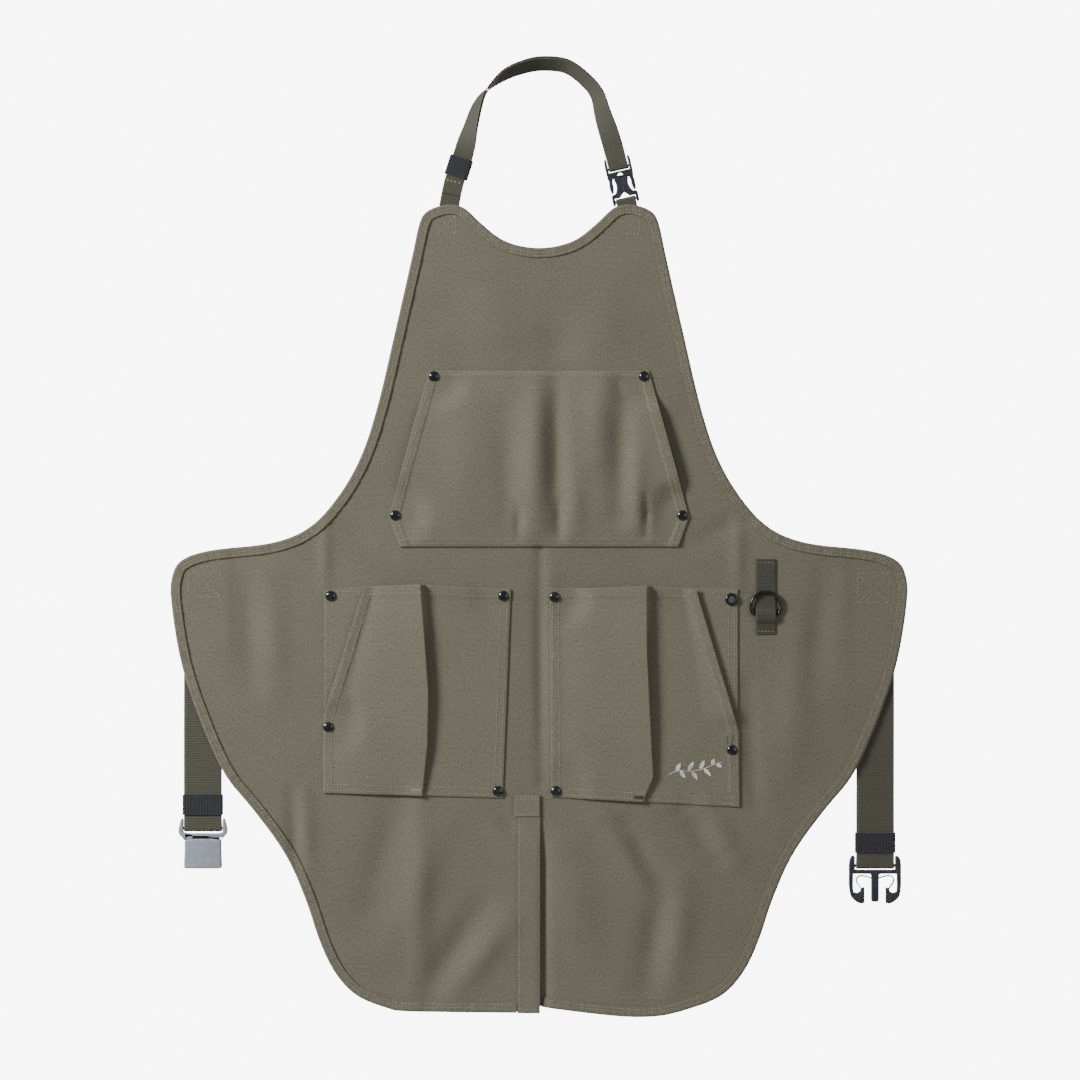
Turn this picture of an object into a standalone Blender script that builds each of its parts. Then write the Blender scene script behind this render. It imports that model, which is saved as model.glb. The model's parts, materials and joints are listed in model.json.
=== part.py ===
"""Split-leg work apron of canvas, hung upright from its webbing neck strap.

Every size below is in millimetres. X runs to the wearer's left, seen from the front as rightwards,
-Y points out of the apron's front, and heights are measured up from the hem line. The empty
named hanger lowers the finished apron so that the world origin is the inside top of the neck strap.
"""

import math

import bmesh
import bpy
from mathutils import Vector

MM = 0.001

# Cloth, webbing and clearances
CANVAS = 1.0  # thickness of one layer of canvas
WEBBING = 1.3  # thickness of the strap webbing
GAP = 0.3  # clearance between pieces that touch

# Cut of the canvas
FABRIC_TOP = 811.5  # hem line to the top of the bib
NECK_DIP = 43.5  # bib top down to the lowest point of the neckline
BIB_CORNER_X = 93.0  # centre line to the top of each rounded bib corner
WAIST_HALF = 367.5  # centre line to the outer edge of a waist wing
BIB_RISE = 345.0  # top edge of a waist wing up to the top of the bib
WING_TOP = FABRIC_TOP - BIB_RISE
FLARE = 187.5  # how much further out the wing's edge is than the corner of side and hem
HEM_HALF = WAIST_HALF - FLARE
BINDING_WIDTH = 10.0
BINDING_CLOTH = 0.8
POCKET_TOP = WING_TOP - 37.5  # hem line to the top of a lower pocket
POCKET_HEIGHT = 207.0
LEG_LINE = POCKET_TOP - POCKET_HEIGHT - 16  # height where the two leg panels start to swing
LEG_GAP = 2.2  # clear space on each side of that line
SLIT_HALF = 0.8  # half the gap between the leg panels

# Placket that covers the slit
PLACKET_WIDTH = 21.5
PLACKET_CLOTH = 1.6
TACK_TOP = LEG_LINE + 15

# Bib pocket
BIB_POCKET_TOP = FABRIC_TOP - 166.5
BIB_POCKET_HEIGHT = BIB_POCKET_TOP - WING_TOP - 2.5
BIB_POCKET_TOP_HALF = 110.0
BIB_POCKET_WIDE_HALF = 150.0
BIB_POCKET_FOOT_HALF = 139.0
BIB_POCKET_SLEEVE = 5.8  # how far the pocket stands off the bib

# Lower pockets
POCKET_MOUTH_HEIGHT = 134.0  # height of the slanted hand opening
POCKET_DEPTH = 13.0  # how far the pleat stands off the apron
POCKET_LIFT = 3.4  # how far the slanted edge stands off its facing
LEFT_POCKET_OUTER = 215.5  # centre line to the outer edge
LEFT_POCKET_INNER = 30.0
RIGHT_POCKET_INNER = 10.5
RIGHT_POCKET_OUTER = 198.5
MOUTH_SLANT = 41.0  # how far the slanted edge leans in at the top

# Rivets
RIVET_CAP_R = 5.3
RIVET_CAP_H = 2.2
RIVET_POST_R = 1.2
RIVET_BACK_R = 4.4
RIVET_BACK_H = 1.1
RIVET_SEAT = 17.0  # radius round a rivet where the pocket lies flat
RIVET_SPREAD = 24.0  # distance beyond that over which the pocket rises to its full depth

# Tool ring and its tab
RING_X = RIGHT_POCKET_OUTER + 28
RING_R = 14.8  # centre line of the wire
RING_WIRE_R = 1.3
RING_BAR_DROP = 9.0  # ring centre down to the straight bar
RING_LEAN = 4.1  # degrees that the ring leans out over its tab
TAB_WIDTH = 20.0
TAB_TOP = WING_TOP - 9.5
TAB_FOOT = TAB_TOP - 75
RING_BAR_Z = TAB_FOOT + 18.5

# Neck strap and its buckle
NECK_WEBBING = 20.0
HANG_HEIGHT = FABRIC_TOP + 134.5  # inside top of the strap above the hem line
NECK_STRAP_Y = 4.8  # middle of the buckle behind the front of the bib
NECK_BUCKLE_X = 0.8871 * BIB_CORNER_X
NECK_BUCKLE_Z = FABRIC_TOP + 24.9
NECK_BUCKLE_TILT = 12.8  # degrees that its top leans towards the centre line
NECK_BUCKLE_HALF = NECK_WEBBING / 2 + 3.4
NECK_BUCKLE_THICK = 5.4
NECK_BAR_R = 1.3
NECK_TOP_BAR = 12.9  # buckle centre up to the bar that carries the strap
NECK_LOW_BAR = -20.5  # buckle centre down to the bar in the sewn tab
NECK_KEEPER = (-0.8624 * BIB_CORNER_X, FABRIC_TOP + 37.3)
NECK_KEEPER_TILT = 18.0
NECK_KEEPER_LENGTH = 20.0

# Waist straps and their buckles
WAIST_WEBBING = 38.0
WAIST_STRAP_X = WAIST_HALF - 31
STRAP_ROOT_Z = WING_TOP - 49.5  # height where a waist strap starts to swing
STRAP_ROOT_GAP = 1.5
ANCHOR_TOP = WING_TOP - 14.5
TAIL_LENGTH = 74.0  # turned-back end of the webbing above the bar
KEEPER_LENGTH = 20.0
KEEPER_WALL = 1.0
LEFT_BAR_Z = STRAP_ROOT_Z - 229.8
RIGHT_BAR_Z = STRAP_ROOT_Z - 267.1
LEFT_KEEPER_Z = LEFT_BAR_Z + 23.8
RIGHT_KEEPER_Z = RIGHT_BAR_Z + 23.1
WAIST_BAR_R = 1.6
SOCKET_THICK = 9.0
SOCKET_HALF = WAIST_WEBBING / 2 - 0.7
SOCKET_FOOT = 40.0  # bar down to the socket's mouth
PLUG_THICK = 6.0
PLUG_HALF = WAIST_WEBBING / 2 + 7.1
PLUG_FOOT = 37.8
PLUG_RAIL = 4.2  # width of each springy side rail
GUIDE_HALF = 3.8  # half width of the plug's middle guide
HORN_TOP = 10.0  # bar up to the tips of the horns beside the webbing

CANVAS_FACE = CANVAS / 2
LAYER_BACK = CANVAS_FACE + GAP  # back of a layer sewn to the front of the apron
LAYER_FRONT = LAYER_BACK + CANVAS
BINDING_INSIDE = CANVAS_FACE + GAP
BINDING_FACE = BINDING_INSIDE + BINDING_CLOTH
STRAP_Y = BINDING_FACE + GAP + WEBBING / 2  # webbing sewn on behind the binding
NECK_WRAP_R = NECK_BAR_R + GAP + WEBBING / 2
WAIST_WRAP_R = WAIST_BAR_R + GAP + WEBBING / 2
LAYER_STEP = (WEBBING + GAP) / 2  # half the distance between two layers of webbing


def clear_scene():
    for obj in list(bpy.data.objects):
        bpy.data.objects.remove(obj, do_unlink=True)


def finish(name, colour, roughness, metallic=0.0):
    """A Principled material; the colour is given as seen on a screen, from 0 to 255."""
    made = bpy.data.materials.new(name)
    made.use_nodes = True
    shader = made.node_tree.nodes["Principled BSDF"]
    linear = [(c / 255) ** 2.2 for c in colour]
    shader.inputs["Base Color"].default_value = (*linear, 1)
    shader.inputs["Roughness"].default_value = roughness
    shader.inputs["Metallic"].default_value = metallic
    made.diffuse_color = (*linear, 1)
    return made


def place(name, shape, material, pivot=(0, 0, 0), smooth=False):
    """Turns a bmesh drawn in apron millimetres into an object whose origin is at pivot."""
    bmesh.ops.recalc_face_normals(shape, faces=shape.faces)
    for vert in shape.verts:
        vert.co = (vert.co - Vector(pivot)) * MM
    mesh = bpy.data.meshes.new(name)
    shape.to_mesh(mesh)
    shape.free()
    mesh.materials.append(material)
    if smooth:
        mesh.shade_smooth()
        mesh.set_sharp_from_angle(angle=math.radians(40))
    obj = bpy.data.objects.new(name, mesh)
    obj.location = Vector(pivot) * MM
    obj.parent = bpy.data.objects.get("hanger")
    bpy.context.scene.collection.objects.link(obj)
    return obj


def between(start, end, share):
    return start + (end - start) * share


def eased(share):
    share = min(max(share, 0), 1)
    return share * share * (3 - 2 * share)


def smooth_through(points, steps):
    """A Catmull-Rom curve through points of any dimension, with steps stretches between two of them."""
    made = []
    last = len(points) - 1
    for i in range(last):
        before, start = points[max(i - 1, 0)], points[i]
        end, after = points[i + 1], points[min(i + 2, last)]
        for k in range(steps):
            t = k / steps
            made.append(tuple(
                0.5 * (2 * b + (c - a) * t + (2 * a - 5 * b + 4 * c - d) * t * t
                       + (3 * b - a - 3 * c + d) * t ** 3)
                for a, b, c, d in zip(before, start, end, after)
            ))
    return made + [tuple(points[last])]


def skin(rings, closed_ends=True):
    """A solid whose skin joins each ring of points to the next."""
    shape = bmesh.new()
    rows = [[shape.verts.new(point) for point in ring] for ring in rings]
    count = len(rows[0])
    for low, high in zip(rows, rows[1:]):
        for j in range(count):
            k = (j + 1) % count
            shape.faces.new((low[j], low[k], high[k], high[j]))
    if closed_ends:
        shape.faces.new(rows[0][::-1])
        shape.faces.new(rows[-1])
    return shape


def plate(outline, front, back):
    """A flat plate: an outline of (x, z) points between the depths front and back."""
    return skin([[(x, y, z) for x, z in outline] for y in (front, back)])


def box(low, high):
    corners = [(low[0], low[2]), (high[0], low[2]), (high[0], high[2]), (low[0], high[2])]
    return plate(corners, low[1], high[1])


def turned(profile, centre, sides=14):
    """A solid of (radius, y) points turned about the Y axis through centre; the ends are on the axis."""
    shape = bmesh.new()
    rings = []
    for radius, y in profile:
        if radius == 0:
            rings.append([shape.verts.new((centre[0], y, centre[1]))] * sides)
            continue
        turns = (2 * math.pi * k / sides for k in range(sides))
        rings.append([
            shape.verts.new((centre[0] + radius * math.cos(a), y, centre[1] + radius * math.sin(a)))
            for a in turns
        ])
    for low, high in zip(rings, rings[1:]):
        for j in range(sides):
            k = (j + 1) % sides
            corners = list(dict.fromkeys((low[j], low[k], high[k], high[j])))
            shape.faces.new(corners)
    return shape


def ribbon(stations, width, thickness):
    """Webbing through (centre, across, outward) stations."""
    rings = []
    for centre, across, outward in stations:
        side, up = across * width / 2, outward * thickness / 2
        rings.append([centre - side - up, centre + side - up, centre + side + up, centre - side + up])
    return skin(rings)


def rod(start, end, radius, sides=10):
    """A round bar along X, or along any line in the apron's own plane."""
    start, end = Vector(start), Vector(end)
    along = (end - start).normalized()
    side = Vector((0, 1, 0))
    up = along.cross(side)
    rings = []
    for point in (start, end):
        turns = (2 * math.pi * k / sides for k in range(sides))
        rings.append([point + (side * math.cos(a) + up * math.sin(a)) * radius for a in turns])
    return skin(rings)


def as_cutter(name, shape, pivot=(0, 0, 0)):
    obj = place(name, shape, None, pivot)
    obj.hide_render = True
    obj.display_type = "WIRE"
    return obj


def combine(target, other, operation):
    step = target.modifiers.new(other.name, "BOOLEAN")
    step.operation = operation
    step.object = other


def cut_edge():
    """The outline of the whole apron, from the left hem corner over the neck to the right one."""
    corner, top = BIB_CORNER_X, FABRIC_TOP
    neck = [
        (corner - 59, top - 0.84 * NECK_DIP), (corner - 35, top - 0.425 * NECK_DIP),
        (corner - 18, top - 0.07 * NECK_DIP), (corner, top), (corner + 19, top - 6.5),
        (corner + 27, top - 19.5),
    ]
    # Shares of the way from the bib corner out to the wing's edge, and from the bib's top down to it
    armhole = [
        (0.1239, 0.1493), (0.1931, 0.3928), (0.2477, 0.5783), (0.306, 0.7232), (0.3862, 0.8391),
        (0.4954, 0.9348), (0.6375, 0.9812), (0.8452, 1),
    ]
    # Shares of the way in from the wing's edge to the hem corner, and down from the wing to the legs
    flank = [(0.0613, 0.0365), (0.0027, 0.1017), (0, 0.2169), (0.072, 0.4933), (0.264, 0.8388)]
    # The same shares inwards, and heights above the hem as shares of the leg line's
    leg = [
        (0.4293, 1.01), (0.6053, 0.7864), (0.7173, 0.5583), (0.7867, 0.3689), (0.872, 0.2087),
        (1, 0.0898), (1.2133, 0.0194),
    ]
    half = neck
    half += [(between(corner, WAIST_HALF, out), between(top, WING_TOP, down)) for out, down in armhole]
    half += [(between(WAIST_HALF, HEM_HALF, x), between(WING_TOP, LEG_LINE, down)) for x, down in flank]
    half += [(between(WAIST_HALF, HEM_HALF, x), LEG_LINE * rise) for x, rise in leg]
    left = [(-x, z) for x, z in reversed(half)]
    return smooth_through(left + [(0, top - NECK_DIP)] + half, 3)


def inward(path, distance):
    """The path moved sideways, to its right as it runs. A steep end is cut off level."""
    moved = []
    last = len(path) - 1
    for i, (x, z) in enumerate(path):
        ahead, behind = path[min(i + 1, last)], path[max(i - 1, 0)]
        run = Vector((ahead[0] - behind[0], ahead[1] - behind[1])).normalized()
        if i in (0, last) and abs(run.y) > abs(run.x):
            moved.append((x + distance / run.y, z))
        else:
            moved.append((x + run.y * distance, z - run.x * distance))
    return moved


def above(path, height):
    """The stretch of a path over a height, which starts and ends exactly on it."""
    kept = []
    for here, there in zip(path, path[1:]):
        if here[1] >= height:
            kept.append(here)
        if (here[1] - height) * (there[1] - height) < 0:
            share = (height - here[1]) / (there[1] - here[1])
            kept.append((here[0] + share * (there[0] - here[0]), height))
    if path[-1][1] >= height:
        kept.append(path[-1])
    return kept


def below(path, height):
    return [(x, -z) for x, z in above([(x, -z) for x, z in path], -height)]


def binding(name, path, material, pivot=(0, 0, 0)):
    """Folded tape that hugs the cut edge: a channel swept along it, open towards the cloth."""
    depth = BINDING_CLOTH + 0.1
    section = [
        (0, -BINDING_FACE), (BINDING_WIDTH, -BINDING_FACE), (BINDING_WIDTH, -BINDING_INSIDE),
        (depth, -BINDING_INSIDE), (depth, BINDING_INSIDE), (BINDING_WIDTH, BINDING_INSIDE),
        (BINDING_WIDTH, BINDING_FACE), (0, BINDING_FACE),
    ]
    lines = [[(x, y, z) for x, z in inward(path, reach)] for reach, y in section]
    return place(name, skin(list(zip(*lines))), material, pivot)


def make_canvas(canvas, tape):
    edge = cut_edge()
    trim = BINDING_CLOTH + 0.1 + GAP
    cloth = inward(edge, trim)
    middle = len(edge) // 2
    top_line, leg_top = LEG_LINE + LEG_GAP, LEG_LINE - LEG_GAP
    pivot = (0, 0, LEG_LINE)
    body = place("apron_body", plate(above(cloth, top_line), -CANVAS_FACE, CANVAS_FACE), canvas)
    binding("body_binding", above(edge, top_line), tape)

    left_side, right_side = below(edge[:middle], leg_top), below(edge[middle:], leg_top)
    left_hem = [(-PLACKET_WIDTH - 1, 3), ((20 - PLACKET_WIDTH - HEM_HALF) / 2, 3)]
    right_hem = [(HEM_HALF - 62, -1), (HEM_HALF - 100, -1), (SLIT_HALF, 9)]
    left = [(-SLIT_HALF, leg_top), (-SLIT_HALF, 3 + trim)] + below(cloth[:middle], leg_top)
    right = below(cloth[middle:], leg_top) + [(x, z + trim) for x, z in right_hem]
    place("left_leg", plate(left, -CANVAS_FACE, CANVAS_FACE), canvas, pivot)
    place("right_leg", plate(right + [(SLIT_HALF, leg_top)], -CANVAS_FACE, CANVAS_FACE), canvas, pivot)
    binding("left_leg_binding", left_hem + left_side, tape, pivot)
    binding("right_leg_binding", right_side + right_hem, tape, pivot)

    front, back = -LAYER_BACK - PLACKET_CLOTH, -LAYER_BACK
    place("slit_placket", box((-PLACKET_WIDTH, front, 3), (0, back, leg_top)), canvas, pivot)
    tack = box((-PLACKET_WIDTH - 3.5, front, top_line), (0, back, TACK_TOP))
    place("slit_tack", tack, canvas)
    return body


def pocket_shell(name, heights, sides, sleeve, lines, material):
    """One layer of canvas sewn on as a pocket.

    heights gives the (left, right) height of the top edge and of the foot; sides gives the (left, right)
    x at a share of the way down; sleeve gives how far the cloth stands off the apron at a share down, a
    share across, x and z; lines gives the shares down and across at which the cloth is drawn.
    """
    (left_top, right_top), (left_foot, right_foot) = heights
    downs, acrosses = lines
    rings = []
    for down in downs:
        left, right = sides(down)
        behind = []
        for across in acrosses:
            x = between(left, right, across)
            top, foot = between(left_top, right_top, across), between(left_foot, right_foot, across)
            z = between(top, foot, down)
            behind.append((x, -LAYER_BACK - sleeve(down, across, x, z), z))
        rings.append([(x, y - CANVAS, z) for x, y, z in behind] + behind[::-1])
    shape = skin(rings, closed_ends=False)
    count = len(rings[0])
    shape.verts.ensure_lookup_table()
    for first in (0, len(shape.verts) - count):
        row = shape.verts[first:first + count]
        for j in range(count // 2 - 1):
            shape.faces.new((row[j], row[j + 1], row[count - 2 - j], row[count - 1 - j]))
    bmesh.ops.triangulate(shape, faces=shape.faces)
    return place(name, shape, material)


def flat_near(rivets, x, z, seat=RIVET_SEAT):
    """0 where a rivet holds the cloth flat, rising to 1 away from it."""
    nearest = min(math.hypot(x - rx, z - rz) for rx, rz in rivets)
    return eased((nearest - seat) / RIVET_SPREAD)


def bib_pocket_rivets():
    top, low = BIB_POCKET_TOP - 5.5, BIB_POCKET_TOP - 0.821 * BIB_POCKET_HEIGHT
    upper, lower = BIB_POCKET_TOP_HALF - 5, BIB_POCKET_WIDE_HALF - 6.5
    return [(-upper, top), (upper, top), (-lower, low), (lower, low)]


def make_bib_pocket(canvas):
    corner = 0.83  # share of the height where the slanted side meets the chamfered foot

    def sides(down):
        if down <= corner:
            half = between(BIB_POCKET_TOP_HALF, BIB_POCKET_WIDE_HALF, down / corner)
        else:
            share = (down - corner) / (1 - corner)
            half = between(BIB_POCKET_WIDE_HALF, BIB_POCKET_FOOT_HALF, share)
        return -half, half

    def sleeve(down, across, x, z):
        rise = math.sin(math.pi * down) ** 0.5 if 0 < down < 1 else 0
        return BIB_POCKET_SLEEVE * rise * flat_near(bib_pocket_rivets(), x, z)

    foot = BIB_POCKET_TOP - BIB_POCKET_HEIGHT
    lines = (
        (0, 0.09, 0.2, 0.3, 0.45, 0.6, 0.68, 0.74, 0.83, 0.91, 1),
        (0, 0.06, 0.14, 0.3, 0.5, 0.7, 0.86, 0.94, 1),
    )
    heights = ((BIB_POCKET_TOP, BIB_POCKET_TOP), (foot, foot))
    pocket_shell("bib_pocket", heights, sides, sleeve, lines, canvas)


def lower_pocket_rivets():
    """The rivets of the left pocket and of the right one."""
    top, foot = POCKET_TOP - 9, POCKET_TOP - POCKET_HEIGHT + 3
    left, right = LEFT_POCKET_OUTER, RIGHT_POCKET_OUTER
    return (
        [(-left + 7.5, top), (-LEFT_POCKET_INNER - 5.5, top), (-left + 5, top - 131),
         (-LEFT_POCKET_INNER - 11, foot)],
        [(RIGHT_POCKET_INNER + 5, top - 1), (right - 6, top - 3.5), (right - 5.5, top - 154),
         (RIGHT_POCKET_INNER + 6.5, foot)],
    )


def pocket_front(name, sides, heights, mouth_at, fold, rivets, lines, material):
    """A pleated front: proud up to its fold, low behind it, and lifted along the slanted mouth.

    mouth_at is 0 for a mouth on the left side and 1 on the right; fold is the share across where the
    pleat's crease lies at the top and at the foot.
    """
    mouth_end = POCKET_MOUTH_HEIGHT / POCKET_HEIGHT

    def sleeve(down, across, x, z):
        crease = between(fold[0], fold[1], down)
        if across <= crease + 0.01:
            pleat = eased(across / crease)
        else:
            pleat = 0.25 * (1 - across) / (1 - crease)
        pleat *= POCKET_DEPTH * (1 - down ** 2.5)
        edge = eased(1 - abs(across - mouth_at) * 4) * eased((mouth_end - down) * 12)
        edge *= flat_near(rivets, x, z, RIVET_CAP_R)
        return max(pleat * flat_near(rivets, x, z), POCKET_LIFT * edge)

    pocket_shell(name, heights, sides, sleeve, lines, material)


def make_lower_pockets(canvas):
    mouth = POCKET_MOUTH_HEIGHT / POCKET_HEIGHT
    left_rivets, right_rivets = lower_pocket_rivets()
    foot = POCKET_TOP - POCKET_HEIGHT

    def left_sides(down):
        slant = MOUTH_SLANT * max(1 - down / mouth, 0)
        return -LEFT_POCKET_OUTER + slant, -LEFT_POCKET_INNER + 2 - 8 * down

    def right_sides(down):
        slant = MOUTH_SLANT * max(1 - down / mouth, 0)
        return RIGHT_POCKET_INNER + 1.5 * down, RIGHT_POCKET_OUTER + 2 * down - slant

    downs = (0, 0.08, 0.2, 0.35, 0.5, 0.6, mouth, 0.72, 0.82, 0.92, 1)
    left_heights = ((POCKET_TOP, POCKET_TOP - 2), (foot + 1, foot - 4))
    left_lines = (downs, (0, 0.1, 0.2, 0.34, 0.46, 0.54, 0.6, 0.7, 0.8, 0.9, 1))
    pocket_front("left_pocket_front", left_sides, left_heights, 0, (0.37, 0.54), left_rivets,
                 left_lines, canvas)
    right_heights = ((POCKET_TOP - 1, POCKET_TOP - 3), (foot - 3, foot - 13))
    right_lines = (downs, (0, 0.1, 0.2, 0.34, 0.44, 0.51, 0.58, 0.66, 0.74, 0.87, 1))
    pocket_front("right_pocket_front", right_sides, right_heights, 1, (0.66, 0.51), right_rivets,
                 right_lines, canvas)

    low = POCKET_TOP - POCKET_MOUTH_HEIGHT + 20
    for name, outer, side in (
        ("left_pocket_facing", LEFT_POCKET_OUTER, -1), ("right_pocket_facing", RIGHT_POCKET_OUTER, 1),
    ):
        reach = MOUTH_SLANT + 12
        outline = [(outer, low), (outer, POCKET_TOP - 2), (outer - reach, POCKET_TOP), (outer - 18, low)]
        place(name, plate([(side * x, z) for x, z in outline], -LAYER_FRONT, -LAYER_BACK), canvas)


def make_rivets(metal, layers):
    """Riveted corners: a domed cap with its post in front, a washer behind, and holes in every layer."""
    left, right = lower_pocket_rivets()
    spots = {"bib": bib_pocket_rivets(), "left_pocket": left, "right_pocket": right}
    face, behind = -LAYER_FRONT - GAP, CANVAS_FACE + GAP
    holes = bmesh.new()
    for where, places in spots.items():
        for number, spot in enumerate(places, 1):
            cap = [
                (0, face - RIVET_CAP_H), (RIVET_CAP_R * 0.55, face - RIVET_CAP_H * 0.86),
                (RIVET_CAP_R * 0.9, face - RIVET_CAP_H * 0.5), (RIVET_CAP_R, face),
                (RIVET_POST_R, face), (RIVET_POST_R, behind + RIVET_BACK_H * 0.8),
                (0, behind + RIVET_BACK_H * 0.8),
            ]
            place(f"{where}_rivet_{number}", turned(cap, spot), metal, smooth=True)
            bore = RIVET_POST_R + GAP
            back = [
                (bore, behind), (RIVET_BACK_R, behind), (RIVET_BACK_R * 0.8, behind + RIVET_BACK_H),
                (bore, behind + RIVET_BACK_H), (bore, behind),
            ]
            place(f"{where}_rivet_back_{number}", turned(back, spot, 12), metal, smooth=True)
            hole = turned([(0, -LAYER_FRONT - 3), (bore, -LAYER_FRONT - 3), (bore, 3), (0, 3)], spot, 8)
            merge(holes, hole)
    cutter = as_cutter("rivet_holes", holes)
    for layer in layers:
        combine(bpy.data.objects[layer], cutter, "DIFFERENCE")


def merge(target, shape):
    """Adds the faces of one bmesh to another."""
    copies = {vert: target.verts.new(vert.co) for vert in shape.verts}
    for face in shape.faces:
        target.faces.new([copies[vert] for vert in face.verts])
    shape.free()


def make_ring_tab(webbing, metal):
    """Webbing tab sewn down at both ends, with a D-shaped ring whose bar runs behind it."""
    bar_y = LAYER_BACK + RING_WIRE_R + GAP
    flat = LAYER_BACK + WEBBING / 2
    proud = bar_y + RING_WIRE_R + GAP + WEBBING / 2
    route = [
        (TAB_TOP, flat), (TAB_TOP - 34, flat), (RING_BAR_Z + 8, flat + 0.5), (RING_BAR_Z + 3.5, proud),
        (RING_BAR_Z, proud + 0.15), (RING_BAR_Z - 3.5, proud), (RING_BAR_Z - 9, flat + 0.4),
        (TAB_FOOT, flat),
    ]
    across = Vector((1, 0, 0))
    points = [Vector((RING_X, -y, z)) for z, y in route]
    stations = []
    for i, point in enumerate(points):
        along = points[min(i + 1, len(points) - 1)] - points[max(i - 1, 0)]
        stations.append((point, across, along.cross(across).normalized()))
    place("ring_tab", ribbon(stations, TAB_WIDTH, WEBBING), webbing)

    pivot = Vector((RING_X, -bar_y, RING_BAR_Z))
    reach = math.acos(RING_BAR_DROP / RING_R)  # half of the angle that the missing bow would span
    arcs = 22
    loop = [
        (RING_R * math.sin(a), RING_R * math.cos(a) + RING_BAR_DROP)
        for a in (between(reach - math.pi, math.pi - reach, k / arcs) for k in range(arcs + 1))
    ]
    loop += [(between(loop[-1][0], loop[0][0], share), 0) for share in (0.25, 0.5, 0.75)]
    lean = math.radians(RING_LEAN)
    wire = []
    for i, (x, z) in enumerate(loop):
        ahead, behind = loop[(i + 1) % len(loop)], loop[i - 1]
        along = Vector((ahead[0] - behind[0], 0, ahead[1] - behind[1])).normalized()
        side = along.cross(Vector((0, 1, 0)))
        ring = []
        for k in range(8):
            angle = 2 * math.pi * k / 8
            offset = math.cos(angle) * side + math.sin(angle) * Vector((0, 1, 0))
            local = Vector((x, 0, z)) + RING_WIRE_R * offset
            y = local.y * math.cos(lean) - local.z * math.sin(lean)
            ring.append(pivot + Vector((local.x, y, local.y * math.sin(lean) + local.z * math.cos(lean))))
        wire.append(ring)
    shape = skin(wire + [wire[0]], closed_ends=False)
    bmesh.ops.remove_doubles(shape, verts=shape.verts, dist=0.001)
    place("tool_ring", shape, metal, pivot, smooth=True)


def settle(shape, centre, across, up):
    """Moves a shape drawn as (across, y, up) about a buckle's centre to where that buckle lies."""
    for vert in shape.verts:
        a, y, b = vert.co
        vert.co = centre + across * a + Vector((0, y, 0)) + up * b
    return shape


def mirrored(half):
    """A closed outline from the points of its right half, top to bottom."""
    return half + [(-x, z) for x, z in reversed(half)]


def neck_buckle_axes():
    tilt = math.radians(NECK_BUCKLE_TILT)
    centre = Vector((NECK_BUCKLE_X, NECK_STRAP_Y, NECK_BUCKLE_Z))
    return centre, Vector((math.cos(tilt), 0, math.sin(tilt))), Vector((-math.sin(tilt), 0, math.cos(tilt)))


def turn_round_bar(bar, across, outward, along, radius):
    """Stations of webbing that turns half way round a bar, from the side outward to the other."""
    stations = []
    for k in range(1, 8):
        angle = math.pi * k / 8
        away = outward * math.cos(angle) + along * math.sin(angle)
        stations.append((bar + away * radius, across, away))
    return stations


def make_neck_strap(webbing):
    """Two layers of twisted webbing: up from the left bib corner, over, round the buckle's bar and back."""
    centre, across, up = neck_buckle_axes()
    bar = centre + up * NECK_TOP_BAR
    base = STRAP_Y - LAYER_STEP
    level = NECK_STRAP_Y
    # Share of the bib corner's distance from the centre line, rise above the bib, depth and twist
    route = [
        (-0.968, -1.5, base, 0), (-0.914, 22.5, base, 0), (-0.817, 50, base, 0), (-0.742, 75.5, 2.2, 42),
        (-0.661, 99.5, 2.8, 62), (-0.5645, 114.5, 3.2, 82), (-0.355, 131, 3.8, 110),
        (-0.113, 139.5, 4.3, 119), (0.091, 141.5, 4.6, 121), (0.306, 138.5, level, 122),
        (0.495, 126, level, 123), (0.624, 111.5, level, 128), (0.688, 91.5, level, 144),
        (0.774, 65.5, level, 172),
    ]
    route = [(x * BIB_CORNER_X, FABRIC_TOP + rise, y, twist) for x, rise, y, twist in route]
    points = smooth_through(route + [(bar.x, bar.z, level, 180)], 3)
    base_layer, tail_layer = [], []
    for i, (x, z, y, twist) in enumerate(points):
        ahead, behind = points[min(i + 1, len(points) - 1)], points[max(i - 1, 0)]
        along = Vector((ahead[0] - behind[0], 0, ahead[1] - behind[1])).normalized()
        inner = Vector((along.z, 0, -along.x))
        turn = math.radians(twist)
        side = inner * math.cos(turn) - Vector((0, 1, 0)) * math.sin(turn)
        if i == len(points) - 1:
            along, side = -up, across
        out = along.cross(side).normalized()
        middle = Vector((x, y, z))
        near = eased(1 - (middle - bar).length / 24)
        step = between(LAYER_STEP, NECK_WRAP_R, near)
        base_layer.append((middle + out * step, side, out))
        if i > 2:
            tail_layer.append((middle - out * step, side, -out))
    wrap = turn_round_bar(bar, across, base_layer[-1][2], -up, NECK_WRAP_R)
    stations = base_layer + wrap + tail_layer[::-1]
    place("neck_strap", ribbon(stations, NECK_WEBBING, WEBBING), webbing)

    top = Vector((-0.97 * BIB_CORNER_X, STRAP_Y, FABRIC_TOP - 4))
    low = Vector((-BIB_CORNER_X, STRAP_Y, FABRIC_TOP - 29))
    along = (top - low).normalized()
    side = Vector((along.z, 0, -along.x))
    sewn = [(point, side, Vector((0, 1, 0))) for point in (low, top)]
    place("neck_strap_anchor", ribbon(sewn, NECK_WEBBING, WEBBING), webbing)


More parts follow.
